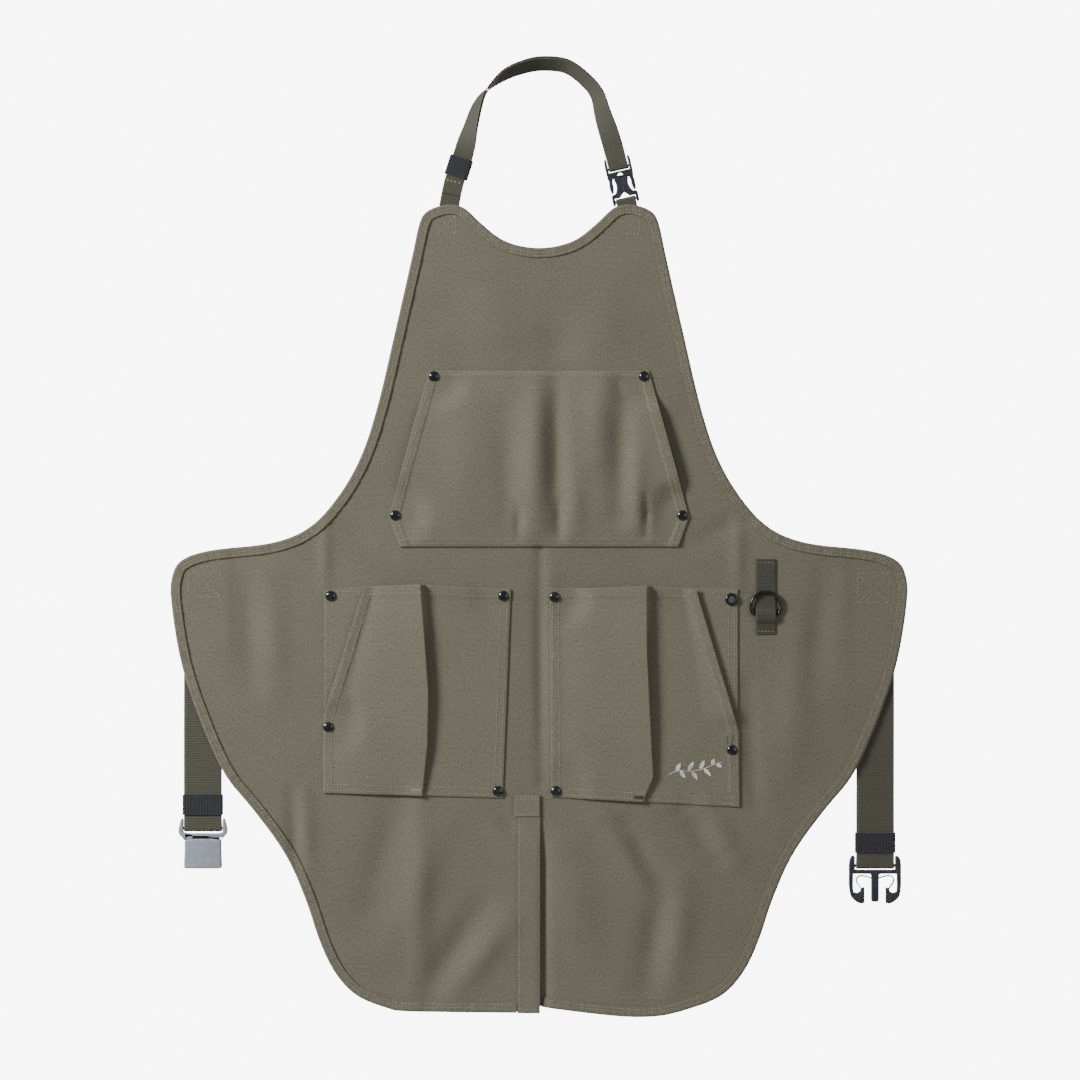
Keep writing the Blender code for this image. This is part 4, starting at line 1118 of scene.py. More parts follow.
def fold_at(side, h):
    across, up = FOLD_PATHS[side]
    return float(np.interp(h, up, across))


def make_lower_pocket(side):
    """A pleated pocket with a slanted mouth over a facing, sewn down on three sides."""
    node, slope = f"{side}_pocket_front", FOOT_SLOPE[side]
    low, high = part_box(node)
    foot, top = height(low.z), height(high.z)
    spots, span = spots_of(side + "_pocket"), width_at(node)
    downs = spaced(top - foot, close=(0, 0.4, 1.6, 4, 7, 8.6, 10, 12.5)) / (top - foot)
    proud, flat = spaced(90, step=3.5) / 90, spaced(80, step=3.5) / 80
    middles = []
    for down in downs:
        h_row = top - down * (top - foot)
        left, right = span(min(max(h_row, foot + slope + 1.5), top - 4))
        crease = (fold_at(side, h_row) - left) / (right - left)
        x_proud = left + proud * crease * (right - left)
        x_flat = left + (crease + flat * (1 - crease)) * (right - left)
        hold = [flat_near(spots, x, np.full(len(x), h_row)) for x in (x_proud, x_flat)]
        open_mouth = POCKET_LIFT * float(eased((MOUTH_SHARE - down) * 12))
        lifts = [np.zeros(len(proud)), np.zeros(len(flat))]
        if side == "left":
            lifts[0] = open_mouth * eased(1 - proud * 2) * flat_near(spots, x_proud, h_row + 0 * proud, 5.3)
        else:
            lifts[1] = open_mouth * eased(flat * 2 - 1) * flat_near(spots, x_flat, h_row + 0 * flat, 5.3)
        x, lift = pleated_row(left, right, crease, down, *lifts, hold, proud, flat)
        across = (x - left) / (right - left)
        h = h_row - 2 * (1 - down) * across + slope * down * (1 - across)
        h = h + 3.2 * (1 - down) ** 3 * np.exp(-((across - crease) / 0.28) ** 2)
        middles.append(np.stack([x, lift, h], axis=1))
    middles = np.array(middles)
    run = np.gradient(middles[:, :, :2], axis=1)
    run /= np.maximum(np.linalg.norm(run, axis=2), 1e-9)[:, :, None]
    out = np.stack([-run[:, :, 1], run[:, :, 0]], axis=2)
    reach = np.linalg.norm(np.diff(middles[:, :, :2], axis=1), axis=2)
    reach = np.concatenate([np.zeros((len(downs), 1)), np.cumsum(reach, axis=1)], axis=1)
    from_mouth = reach if side == "left" else reach[:, -1:] - reach
    from_top = (downs * (top - foot))[:, None] + 0 * reach
    hem = 0.5 * np.maximum(1 - eased((from_top - 9.5) / 1.2), 1 - eased((from_mouth - 9.5) / 1.2))
    front_at = middles[:, :, :2] + out * (CLOTH / 2 + hem)[:, :, None]
    back_at = middles[:, :, :2] - out * (CLOTH / 2)
    grids = []
    for at in (front_at, back_at):
        x, lift, h = at[:, :, 0], at[:, :, 1], middles[:, :, 2]
        grids.append(np.stack([x * MM, forward(x, h, LAYER_BACK + CLOTH / 2 + lift), level(h)], axis=2))
    maps = np.stack([reach * MM, middles[:, :, 2] * MM], axis=2)
    fold_edge = np.exp(-((reach - reach[:, len(proud):len(proud) + 1]) / 1.6) ** 2)
    edge = np.clip(0.9 * (from_top < 0.8) + 0.9 * (from_mouth < 0.8) + 0.4 * fold_edge, 0, 1)
    cloth = cloth_from_grid(f"{side}_pocket_cloth", grids[0], grids[1], maps, POCKET_CANVAS, edge)
    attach(cloth, "apron")
    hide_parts(node)
    return cloth


def sew_pocket(side, cloth, facing):
    """Double rows round a lower pocket, along its mouth and along its facing."""
    node = f"{side}_pocket_front"
    low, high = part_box(node)
    foot, top = height(low.z), height(high.z)
    span, face_span = width_at(node), width_at(f"{side}_pocket_facing")
    surface, facing_surface = surface_of(cloth), surface_of(facing)
    far, mouth = 1 - MOUTH[side], MOUTH[side]
    inward = 1 if mouth == 0 else -1
    laid = []

    def sew(on, row):
        line = evenly([(x * MM, level(h)) for x, h in row], MM)
        laid.append((laid_on(on, line, fallback=-0.0022), FORWARD))

    left, right = span(foot + FOOT_SLOPE[side] + 1.5)
    outer = face_span(top - 20)[mouth]
    floor = height(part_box(f"{side}_pocket_facing")[0].z)
    for inset in (3.0, 9.0):
        sew(surface, [(span(h)[far] - inward * inset, h) for h in np.linspace(foot + 12, top - 4, 24)])
        slanted = inward * (inset - 0.6)
        sew(surface, [(span(h)[mouth] + slanted, h) for h in np.linspace(foot + 14, top - 3, 30)])
        base = np.linspace(left + 3, right - 3, 60)
        rise = foot + FOOT_SLOPE[side] * (1 - (base - left) / (right - left)) + inset
        sew(surface, zip(base, rise))
        sew(facing_surface, [(outer + inward * inset, h) for h in np.linspace(floor + 2, top - 3, 30)])
    left, right = span(top - 8)
    crease = (fold_at(side, top) - left) / (right - left)
    brim = []
    for share in np.linspace(0.01, 0.99, 60):
        lifted = 3.2 * math.exp(-((share - crease) / 0.28) ** 2)
        brim.append((left + share * (right - left), top - 8.2 - 2 * share + lifted))
    sew(surface, brim)
    left, right = face_span(top - 4)
    sew(facing_surface, [(left + 2, top - 5), (right - 2, top - 4)])
    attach(stitches(f"{side}_pocket_stitching", laid, KHAKI_THREAD), "apron")


def make_lower_pockets():
    for side in ("left", "right"):
        cloth = make_lower_pocket(side)
        outline = loops_of(f"{side}_pocket_facing")[0]
        outline = (outline if area(outline) > 0 else outline[::-1]).copy()
        outline[outline[:, 1] < outline[:, 1].min() + MM, 1] -= 9 * MM
        facing = patch(f"{side}_pocket_mouth_facing", outline, LAYER_BACK, LAYER_BACK + CLOTH, POCKET_CANVAS)
        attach(facing, "apron")
        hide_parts(f"{side}_pocket_facing")
        sew_pocket(side, cloth, facing)


def make_corner_flap():
    """The torn-back corner of the right pocket's mouth, tacked down above its rivet."""
    x, h = spots_of("right_pocket")[2]
    outline = [(-12, 5.5), (-5.5, 1.8), (-1.2, 4.2), (0.6, 15.5), (-4.8, 18.6), (-9.6, 15.2)]
    outline = [((x + a) * MM, level(h + b)) for a, b in outline]
    flap = patch("right_pocket_corner_flap", outline, 1.85, 2.8, POCKET_CANVAS, step=1.5)
    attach(flap, "apron")
    surface = surface_of(flap)
    made = []
    for rise in (6.5, 9.7, 12.9):
        line = laid_on(surface, [((x - 5.2) * MM, level(h + rise + k)) for k in (-1.1, 0, 1.1)])
        made.append((*line, FORWARD))
    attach(threads("corner_flap_stitches", made, DARK_THREAD, 0.45), "apron")


# ---------------------------------------------------------------- rivets


def lathe(name, profile, centre, material, sides=40):
    """A turned piece about the Y axis; profile is (radius, y) from the front to the back."""
    angles = 2 * math.pi * np.arange(sides) / sides
    rings = [
        np.stack([centre[0] + max(r, 0.02) * MM * np.cos(angles), np.full(sides, centre[1] + y * MM),
                  centre[2] + max(r, 0.02) * MM * np.sin(angles)], axis=1)
        for r, y in profile
    ]
    verts, faces = swept(np.array(rings))
    edge = np.repeat([1.0 if 4.2 < r < 5.25 else 0.1 for r, _ in profile], sides)
    return facing_out(new_object(name, verts, faces, material, edge=edge, sharp=32))


DOME = (
    (0, -2.3), (1.2, -2.27), (2.3, -2.14), (3.3, -1.86), (4.1, -1.44), (4.7, -0.95), (5.0, -0.62),
    (5.06, -0.5), (5.25, -0.42), (5.34, -0.2), (5.3, 0.05), (5.0, 0.16), (1.2, 0.16), (1.2, 3.4), (0, 3.4),
)
RINGED = (
    (0, -0.75), (3.6, -0.75), (4.0, -0.8), (4.15, -1.3), (4.6, -1.75), (5.3, -1.8), (5.9, -1.5), (6.3, -0.9),
    (6.4, -0.2), (6.0, 0.1), (1.2, 0.16), (1.2, 3.4), (0, 3.4),
)
CENTRE_DISC = ((0, -0.95), (2.0, -1.0), (3.4, -0.9), (3.75, -0.7), (3.7, -0.4), (0, -0.4))
WASHER = ((1.3, 0.1), (1.3, 0.95), (1.9, 1.05), (3.3, 0.9), (4.1, 0.6), (4.4, 0.25), (4.35, 0.0), (1.3, 0.0))


def make_rivets():
    for prefix in ("bib", "left_pocket", "right_pocket"):
        for number, (x, h) in enumerate(spots_of(prefix), 1):
            node = f"{prefix}_rivet_{number}"
            seat = float(forward(x, h, LAYER_BACK + CLOTH + 0.25))
            centre = (x * MM, seat, level(h))
            open_ring = node == "right_pocket_rivet_2"
            cap = lathe(node + "_cap", RINGED if open_ring else DOME, centre, LACQUER)
            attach(cap, "apron")
            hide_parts(node)
            if open_ring:
                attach(lathe(node + "_centre", CENTRE_DISC, centre, MATTE_METAL), "apron")
            behind = (x * MM, float(forward(x, h, -CLOTH / 2 - 0.1)), level(h))
            washer = lathe(f"{prefix}_washer_{number}", WASHER, behind, LACQUER, 32)
            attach(washer, "apron")
            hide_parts(f"{prefix}_rivet_back_{number}")


# ---------------------------------------------------------------- webbing


def band(name, stations, width, thickness, material, step=3.0):
    """Webbing through stations of (centre, across, outward) in metres, with full rounded selvedges."""
    centres, sides, outs = (np.array([s[k] for s in stations], float) for k in range(3))
    reach = reach_along(centres)
    wanted = [0.0]
    for a, b in zip(reach[:-1], reach[1:]):
        count = max(1, int(math.ceil((b - a) / (step * MM))))
        wanted += [a + (b - a) * (k + 1) / count for k in range(count)]
    centres, sides, outs = (
        np.stack([np.interp(wanted, reach, rows[:, k]) for k in range(3)], axis=1)
        for rows in (centres, sides, outs))
    sides /= np.linalg.norm(sides, axis=1)[:, None]
    outs -= sides * np.sum(outs * sides, axis=1)[:, None]
    outs /= np.linalg.norm(outs, axis=1)[:, None]
    half, thick = width / 2 * MM, thickness / 2 * MM
    across, rise = [], []
    for share in np.linspace(-1, 1, 15):
        swell = 0.93 + 0.07 * math.cos(share * math.pi * 5) if abs(share) < 0.95 else 0.92
        across.append(share * (half - thick))
        rise.append(thick * swell)
    turn = np.linspace(0, math.pi, 6)[1:-1]
    section = list(zip(across, rise))
    section += [(half - thick + thick * math.sin(t), thick * 0.92 * math.cos(t)) for t in turn]
    section += [(a, -r) for a, r in zip(across[::-1], rise[::-1])]
    section += [(-half + thick - thick * math.sin(t), -thick * 0.92 * math.cos(t)) for t in turn]
    section = np.array(section)
    rings = (centres[:, None] + sides[:, None] * section[None, :, 0, None]
             + outs[:, None] * section[None, :, 1, None])
    verts, faces = swept(rings)
    around = section[:, 0]
    maps = np.stack(np.broadcast_arrays(around[None], np.array(wanted)[:, None]), axis=2).reshape(-1, 2)
    edge = np.broadcast_to((np.abs(around) > half - 1.6 * thick) * 0.8, (len(wanted), len(section))).ravel()
    return facing_out(new_object(name, verts, faces, material, maps, edge))


def round_bar(bar, across, outward, along, radius):
    made = []
    for angle in np.linspace(0, math.pi, 15)[1:-1]:
        away = outward * math.cos(angle) + along * math.sin(angle)
        made.append((bar + away * radius, across, away))
    return made


NECK_BAR, WAIST_BAR = 1.3, 1.6  # radius of the buckles' bars
WRAP = (NECK_BAR + GAP + WEB / 2) * MM  # radius of the webbing round a neck buckle's bar
WAIST_WRAP = (WAIST_BAR + GAP + WEB / 2) * MM
LAYERS = (WEB + GAP) / 2 * MM  # from the middle of doubled webbing to the middle of one layer
SEWN_Y = 2.55 * MM  # webbing sewn on behind the tape
CORNER = middle("neck_keeper").x / -0.8624
BIB_TOP = height(middle("neck_keeper").z) - 37.3
BUCKLE_LEAN = math.radians(12.8)
BUCKLE = Vector((0.8871 * CORNER, 4.8 * MM, level(BIB_TOP + 24.9)))
BUCKLE_ACROSS = Vector((math.cos(BUCKLE_LEAN), 0, math.sin(BUCKLE_LEAN)))
BUCKLE_UP = Vector((-math.sin(BUCKLE_LEAN), 0, math.cos(BUCKLE_LEAN)))
# Share of the bib corner's distance from the centre line, rise above the bib, depth and twist
NECK_ROUTE = (
    (-0.968, -1.5, 1.75, 0), (-0.914, 22.5, 1.75, 0), (-0.817, 50, 1.75, 0), (-0.742, 75.5, 2.2, 42),
    (-0.661, 99.5, 2.8, 62), (-0.5645, 114.5, 3.2, 82), (-0.355, 131, 3.8, 110), (-0.113, 139.5, 4.3, 119),
    (0.091, 141.5, 4.6, 121), (0.306, 138.5, 4.8, 122), (0.495, 126, 4.8, 123), (0.624, 111.5, 4.8, 128),
    (0.688, 91.5, 4.8, 144), (0.774, 65.5, 4.8, 172),
)


def make_neck_strap():
    """One length of webbing: sewn to the bib, up, over, round the buckle's bar and back on itself."""
    bar = BUCKLE + BUCKLE_UP * 12.9 * MM
    route = [(x * CORNER / MM, BIB_TOP + rise, y, twist) for x, rise, y, twist in NECK_ROUTE]
    route.append((bar.x / MM, height(bar.z), 4.8, 180))
    points = rounded(route, 9)
    outer, inner = [], []
    for i, (x, h, y, twist) in enumerate(points):
        ahead, behind = points[min(i + 1, len(points) - 1)], points[max(i - 1, 0)]
        along = Vector((ahead[0] - behind[0], 0, ahead[1] - behind[1])).normalized()
        turn = math.radians(twist)
        side = Vector((along.z, 0, -along.x)) * math.cos(turn) - Vector((0, 1, 0)) * math.sin(turn)
        if i == len(points) - 1:
            along, side = -BUCKLE_UP, BUCKLE_ACROSS
        out = along.cross(side).normalized()
        centre = Vector((x * MM, y * MM, level(h)))
        near = float(eased(1 - (centre - bar).length / 0.024))
        apart = 0.25 * MM * math.sin(i * 0.11) * float(eased(i / 30)) * (1 - near)
        step = LAYERS + (WRAP - LAYERS) * near
        outer.append((centre + out * step, side, out))
        if i > 4:
            inner.append((centre - out * (step + abs(apart)) + side * 2.2 * apart, side, -out))
    top = Vector((-0.97 * CORNER, SEWN_Y, level(BIB_TOP - 4)))
    low = Vector((-CORNER, SEWN_Y, level(BIB_TOP - 29)))
    run = (top - low).normalized()
    side = Vector((run.z, 0, -run.x))
    sewn = [(low, side, -Vector((0, 1, 0))), (top, side, -Vector((0, 1, 0)))]
    wrap = round_bar(bar, BUCKLE_ACROSS, outer[-1][2], -BUCKLE_UP, WRAP)
    strap = band("neck_strap_webbing", sewn + outer + wrap + inner[::-1], 20, WEB, WEBBING, 2.0)
    follow_neck(strap)
    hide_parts("neck_strap", "neck_strap_anchor")

    rows = []
    for back_by in (12.5, 13.4):
        centre, side, out = inner[0]
        along = side.cross(out).normalized()
        along = along if along.z > 0 else -along
        at = centre + along * back_by * MM + out * 0.66 * MM
        rows.append((np.array([at - side * 8 * MM, at + side * 8 * MM]), tuple(out)))
    follow_neck(stitches("neck_strap_end_stitching", rows, KHAKI_THREAD, radius=0.42))

    low_bar = BUCKLE - BUCKLE_UP * 20.5 * MM
    front = Vector((0, -1, 0))
    tab = [(low_bar + front * WRAP - BUCKLE_UP * rise * MM, BUCKLE_ACROSS, front) for rise in (34, 17, 0)]
    tab += round_bar(low_bar, BUCKLE_ACROSS, front, BUCKLE_UP, WRAP)
    for drop in (0, 4, 8, 12, 16, 28):
        back = WRAP + (2 * LAYERS - 2 * WRAP) * float(eased(drop / 16))
        tab.append((low_bar - BUCKLE_UP * drop * MM - front * back, BUCKLE_ACROSS, -front))
    tab = band("neck_buckle_tab", tab, 20, WEB, WEBBING, 2.0)
    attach(tab, "apron")
    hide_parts("neck_tab")


def follow_neck(obj):
    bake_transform(obj)


KEEPER_STEP = 1.2  # spacing of the points round a keeper


def sleeve(name, centre, across, up, half, depth, length):
    """An elastic keeper: a ribbed band sewn into a loop round the webbing."""
    corner, flatter = 1.6, min(1.6, depth)
    loop = []
    for cx, cy, start in ((half, -depth, -90), (half, depth, 0), (-half, depth, 90), (-half, -depth, 180)):
        middle_x = cx - math.copysign(corner, cx)
        middle_y = cy - math.copysign(flatter, cy)
        for k in range(6):
            angle = math.radians(start + 90 * k / 5)
            loop.append((middle_x + corner * math.cos(angle), middle_y + flatter * math.sin(angle)))
    loop = closely(np.array(loop), KEEPER_STEP)
    run = np.roll(loop, -1, axis=0) - np.roll(loop, 1, axis=0)
    run /= np.linalg.norm(run, axis=1)[:, None]
    out = np.stack([run[:, 1], -run[:, 0]], axis=1)
    ends = np.linspace(-1, 1, 13)
    section = [(share * length / 2, 0.5 + 0.05 * math.cos(share * math.pi * 6)) for share in ends]
    section += [(length / 2 + 0.1, 0.0)] + [(share * length / 2, -0.45) for share in ends[::-1]]
    section += [(-length / 2 - 0.1, 0.0)]
    centre, across, up = Vector(centre), Vector(across), Vector(up)
    rings = []
    for (a, y), (na, ny) in zip(loop, out):
        rings.append([
            tuple(centre + across * (a + na * lift) * MM + Vector((0, (y + ny * lift) * MM, 0))
                  + up * rise * MM)
            for rise, lift in section])
    verts, faces = swept(np.array(rings), closed=True)
    reach = np.arange(len(loop)) * KEEPER_STEP * MM
    maps = np.stack(np.broadcast_arrays(np.array([r for r, _ in section])[None] * MM,
                                        reach[:, None]), axis=2).reshape(-1, 2)
    edge = np.broadcast_to([0.9 if abs(r) > length / 2 - 0.8 else 0.1 for r, _ in section],
                           (len(loop), len(section))).ravel()
    return facing_out(new_object(name, verts, faces, ELASTIC, maps, edge))


def make_keepers():
    lean = math.radians(18)
    across, up = (math.cos(lean), 0, -math.sin(lean)), (math.sin(lean), 0, math.cos(lean))
    for node, half, axes in (
        ("neck_keeper", 11.5, (across, up)), ("left_keeper", 19.8, (ACROSS, UP)),
        ("right_keeper", 19.8, (ACROSS, UP)),
    ):
        low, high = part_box(node)
        depth = (high.y - low.y) / MM / 2 - 0.62
        keeper = sleeve(node + "_band", middle(node), *axes, half, depth, 20)
        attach(keeper, node)
        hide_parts(node)


def make_waist_straps():
    front, down, across = Vector((0, -1, 0)), Vector((0, 0, -1)), Vector((1, 0, 0))
    for side in ("left", "right"):
        tilt = Vector(JOINTS[f"{side}_buckle_tilt"]["pos_m"])
        swing = JOINTS[f"{side}_strap_swing"]["pos_m"]
        x = tilt.x
        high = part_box(f"{side}_strap_anchor")[1].z
        sewn = (high, high - 0.02, swing[2] + 0.001)
        stations = [(Vector((x, SEWN_Y, z)), across, front) for z in sewn]
        drop = swing[2] - tilt.z
        for share in np.linspace(0.02, 0.985, 24):
            sway = 0.5 * MM * math.sin(share * 7 + (0 if side == "left" else 2)) * math.sin(math.pi * share)
            stations.append((Vector((x, SEWN_Y + sway, swing[2] - drop * share)), across, front))
        stations.append((tilt + front * WAIST_WRAP, across, front))
        stations += round_bar(tilt, across, front, down, WAIST_WRAP)
        for rise in (0, 3, 6, 9, 12, 40, 74):
            back = WAIST_WRAP + (2 * LAYERS - 2 * WAIST_WRAP) * float(eased(rise / 12))
            stations.append((tilt - down * rise * MM - front * back, across, -front))
        strap = band(f"{side}_waist_webbing", stations, 38, WEB, WEBBING, 3.0)
        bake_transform(strap)
        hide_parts(f"{side}_waist_strap", f"{side}_strap_anchor")
        rows = []
        for rise in (66, 71):
            z = tilt.z + rise * MM
            y = tilt.y + 2 * LAYERS - WAIST_WRAP + WEB / 2 * MM
            rows.append((np.array([(x - 0.016, y, z), (x + 0.016, y, z)]), BACKWARD))
        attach(stitches(f"{side}_waist_tail_stitching", rows, DARK_THREAD), f"{side}_waist_strap")


# ---------------------------------------------------------------- ring and its tab


def make_ring():
    pivot = Vector(JOINTS["tool_ring_swing"]["pos_m"])
    shift = -float(drape(pivot.x / MM, height(pivot.z))) * MM
    radius, wire, bar_drop = 14.8, 1.5, 9.0
    reach = math.acos(bar_drop / radius)
    loop = [(radius * math.sin(a), radius * math.cos(a) + bar_drop)
            for a in np.linspace(reach - math.pi, math.pi - reach, 61)]
    corner = loop[-1][0]
    loop = loop[2:-2] + [(corner - 0.7, 1.1), (corner - 2.2, 0.1)]
    loop += [(x, 0.0) for x in np.linspace(corner - 4, -corner + 4, 9)]
    loop = np.array(loop + [(2.2 - corner, 0.1), (0.7 - corner, 1.1)])
    lean = math.radians(4.1)
    rings = []
    for i, (x, z) in enumerate(loop):
        run = loop[(i + 1) % len(loop)] - loop[i - 1]
        run /= np.linalg.norm(run)
        ring = []
        for k in range(16):
            angle = 2 * math.pi * k / 16
            a = x - run[1] * wire * math.cos(angle)
            c = z + run[0] * wire * math.cos(angle)
            b = wire * math.sin(angle)
            back, rise = b * math.cos(lean) - c * math.sin(lean), b * math.sin(lean) + c * math.cos(lean)
            ring.append((pivot.x + a * MM, pivot.y + shift + back * MM, pivot.z + rise * MM))
        rings.append(ring)
    verts, faces = swept(np.array(rings), closed=True)
    ring = facing_out(new_object("tool_ring_wire", verts, faces, RING_METAL))
    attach(ring, "tool_ring")
    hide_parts("tool_ring")

    low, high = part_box("ring_tab")
    flat = LAYER_BACK + WEB / 2
    proud = -pivot.y / MM + wire + GAP + WEB / 2
    top, foot, bar = height(high.z), height(low.z), height(pivot.z)
    route = [(top, flat), (top - 20, flat), (top - 34, flat), (bar + 9, flat + 0.3), (bar + 4.2, proud - 0.5),
             (bar, proud + 0.15), (bar - 4.2, proud - 0.5), (bar - 9, flat + 0.3), (foot, flat)]
    points = rounded(route, 5)
    stations = []
    for i, (h, lift) in enumerate(points):
        dh, dl = points[min(i + 1, len(points) - 1)] - points[max(i - 1, 0)]
        out = Vector((0, dh, dl)).normalized() if dh < 0 else Vector((0, -1, 0))
        y = -lift * MM - float(drape(pivot.x / MM, h)) * MM
        stations.append((Vector((pivot.x, y, level(h))), Vector((1, 0, 0)), out))
    tab = band("ring_tab_webbing", stations, 20, WEB, TAB_WEBBING, 1.6)
    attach(tab, "apron")
    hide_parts("ring_tab")
    surface = surface_of(tab)
    rows = []
    for h in (top - 3.6, foot + 2.8):
        line = evenly([(pivot.x - 0.0085, level(h)), (pivot.x + 0.0085, level(h))], MM)
        rows.append((laid_on(surface, line), FORWARD))
    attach(stitches("ring_tab_stitching", rows, KHAKI_THREAD), "apron")


# ---------------------------------------------------------------- buckles


def mirrored(half):
    """A closed outline from the points of its right half, top to bottom."""
    return list(half) + [(-a, b) for a, b in reversed(half)]


def moulded(outlines, thick, bevel):
    """A flat moulding with rolled edges: mesh data in (across, along, -depth) millimetres."""
    curve = bpy.data.curves.new("outline", "CURVE")
    curve.dimensions, curve.fill_mode = "2D", "BOTH"
    curve.extrude, curve.bevel_depth = thick / 2 - bevel, bevel
    curve.bevel_resolution, curve.offset = 3, -bevel
    for points in outlines:
        spline = curve.splines.new("POLY")
        spline.points.add(len(points) - 1)
        for point, (a, b) in zip(spline.points, points):
            point.co = (a, b, 0, 1)
        spline.use_cyclic_u = True
    holder = bpy.data.objects.new("outline", curve)
    made = bpy.data.meshes.new_from_object(holder)
    bpy.data.objects.remove(holder)
    bpy.data.curves.remove(curve)
    shape = bmesh.new()
    shape.from_mesh(made)
    bpy.data.meshes.remove(made)
    bmesh.ops.remove_doubles(shape, verts=shape.verts, dist=0.0005)
    return shape


def rod_shape(shape, start, end, radius, sides=14):
    """Adds a round bar between two (across, along, depth) points to a bmesh."""
    start, end = Vector(start), Vector(end)
    along = (end - start).normalized()
    side = along.orthogonal().normalized()
    other = along.cross(side)
    rings = []
    for point in (start, end):
        rings.append([shape.verts.new(point + (side * math.cos(a) + other * math.sin(a)) * radius)
                      for a in 2 * math.pi * np.arange(sides) / sides])
    for i in range(sides):
        j = (i + 1) % sides
        shape.faces.new((rings[0][i], rings[0][j], rings[1][j], rings[1][i]))
    shape.faces.new(rings[0][::-1])
    shape.faces.new(rings[1])


def lump(shape, centre, size, roll=0.5):
    """Adds a block with rolled edges, centred at (across, along, depth), to a bmesh."""
    made = bmesh.new()
    bmesh.ops.create_cube(made, size=1)
    for vert in made.verts:
        vert.co = Vector((centre[k] + vert.co[k] * size[k] for k in range(3)))
    bmesh.ops.bevel(made, geom=list(made.edges), offset=roll, segments=2, profile=0.5, affect="EDGES")
    merge(shape, made)


def merge(target, shape):
    copies = {vert: target.verts.new(vert.co) for vert in shape.verts}
    for face in shape.faces:
        target.faces.new([copies[vert] for vert in face.verts])
    shape.free()


BUCKLE_SHARP = 38  # degrees


def buckle_part(name, shape, material, centre, across, up, body, node):
    """Turns a moulding drawn in (across, along, forward) millimetres into a piece of the scene."""
    for vert in shape.verts:
        a, b, forward_by = vert.co
        vert.co = Vector(centre) + (Vector(across) * a + Vector(up) * b - Vector((0, 1, 0)) * forward_by) * MM
    obj = from_bmesh(name, shape, material, BUCKLE_SHARP)
    mesh = obj.data
    mark = mesh.attributes.new("edge", "FLOAT", "POINT")
    values = [1.0 if 0.25 < abs(v.normal.y) < 0.93 else 0.0 for v in mesh.vertices]
    mark.data.foreach_set("value", values)
    if body:
        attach(obj, body)
    if node:
        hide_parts(node)
    return obj


def cut_block(obj, bar, centre, size):
    """Takes a block with rolled edges, placed in (across, along, forward) from the bar, out of a part."""
    block = bmesh.new()
    lump(block, centre, size, 0.8)
    for vert in block.verts:
        a, b, c = vert.co
        vert.co = bar + Vector((a, -c, b)) * MM
    tool = from_bmesh("tool", block, obj.data.materials[0])
    change = obj.modifiers.new("cut", "BOOLEAN")
    change.operation, change.solver, change.object = "DIFFERENCE", "EXACT", tool
    graph = bpy.context.evaluated_depsgraph_get()
    made = bpy.data.meshes.new_from_object(obj.evaluated_get(graph))
    obj.modifiers.clear()
    obj.data = made
    bpy.data.objects.remove(tool)
    made.shade_smooth()
    made.set_sharp_from_angle(angle=math.radians(BUCKLE_SHARP))


def make_neck_buckle():
    bar, half, window = 12.9, 13.4, 10.6
    low, foot = -20.5, -23.9
    half_outline = [
        (window, bar + 9.5), (window + 0.5, bar + 10.4), (half - 1.4, bar + 10.6), (half - 0.5, bar + 9.4),
        (half, bar + 5), (half, 8), (half - 0.3, 4), (half - 0.9, 1), (half - 0.3, -3), (half - 0.3, -7),
        (half - 0.8, -10.6), (half - 1.6, -11.7), (half - 3.0, -11.4), (half - 3.8, -9), (half - 4.3, -5),
        (half - 4.2, -1), (half - 4.7, 1.2), (half - 5.6, 2.6), (half - 6.8, 3.2), (4, 3.2),
    ]
    top = bar - 3.6
    outline = mirrored(half_outline) + [(a, top) for a in (-window, -8, -4, 4, 8, window)]
    hole = [(2.6 * math.cos(a), 5.0 + 2.6 * math.sin(a)) for a in np.radians(np.linspace(0, 180, 12))]
    plug = moulded([outline, hole], 5.4, 0.9)
    rod_shape(plug, (-window - 1, bar, 0), (window + 1, bar, 0), NECK_BAR)
    lump(plug, (0, -2, 0), (9.2, 14, 2.0), 0.4)
    buckle_part("neck_buckle_plug_half", plug, PLASTIC, BUCKLE, BUCKLE_ACROSS, BUCKLE_UP, "neck_strap",
                "neck_buckle_plug")
    under = low + 3.6
    half_outline = [
        (3.6, 2.9), (half - 6.4, 2.9), (half - 6.1, 1.4), (half - 7.2, -2), (half - 7.4, -5),
        (half - 6.4, -9), (half - 5.0, -11.8), (half - 4.0, -12.6),
        (half - 1.2, -12.9), (half - 0.3, -14), (half, -16), (half, foot + 1.2), (half - 0.6, foot),
        (window + 0.4, foot), (window, foot + 0.5), (window, under), (5, under), (0.5, under + 4.4),
    ]
    socket = moulded([mirrored(half_outline)], 5.4, 0.9)
    rod_shape(socket, (-window - 1, low, 0), (window + 1, low, 0), NECK_BAR)
    buckle_part("neck_buckle_socket_half", socket, PLASTIC, BUCKLE, BUCKLE_ACROSS, BUCKLE_UP, "apron",
                "neck_buckle_socket")


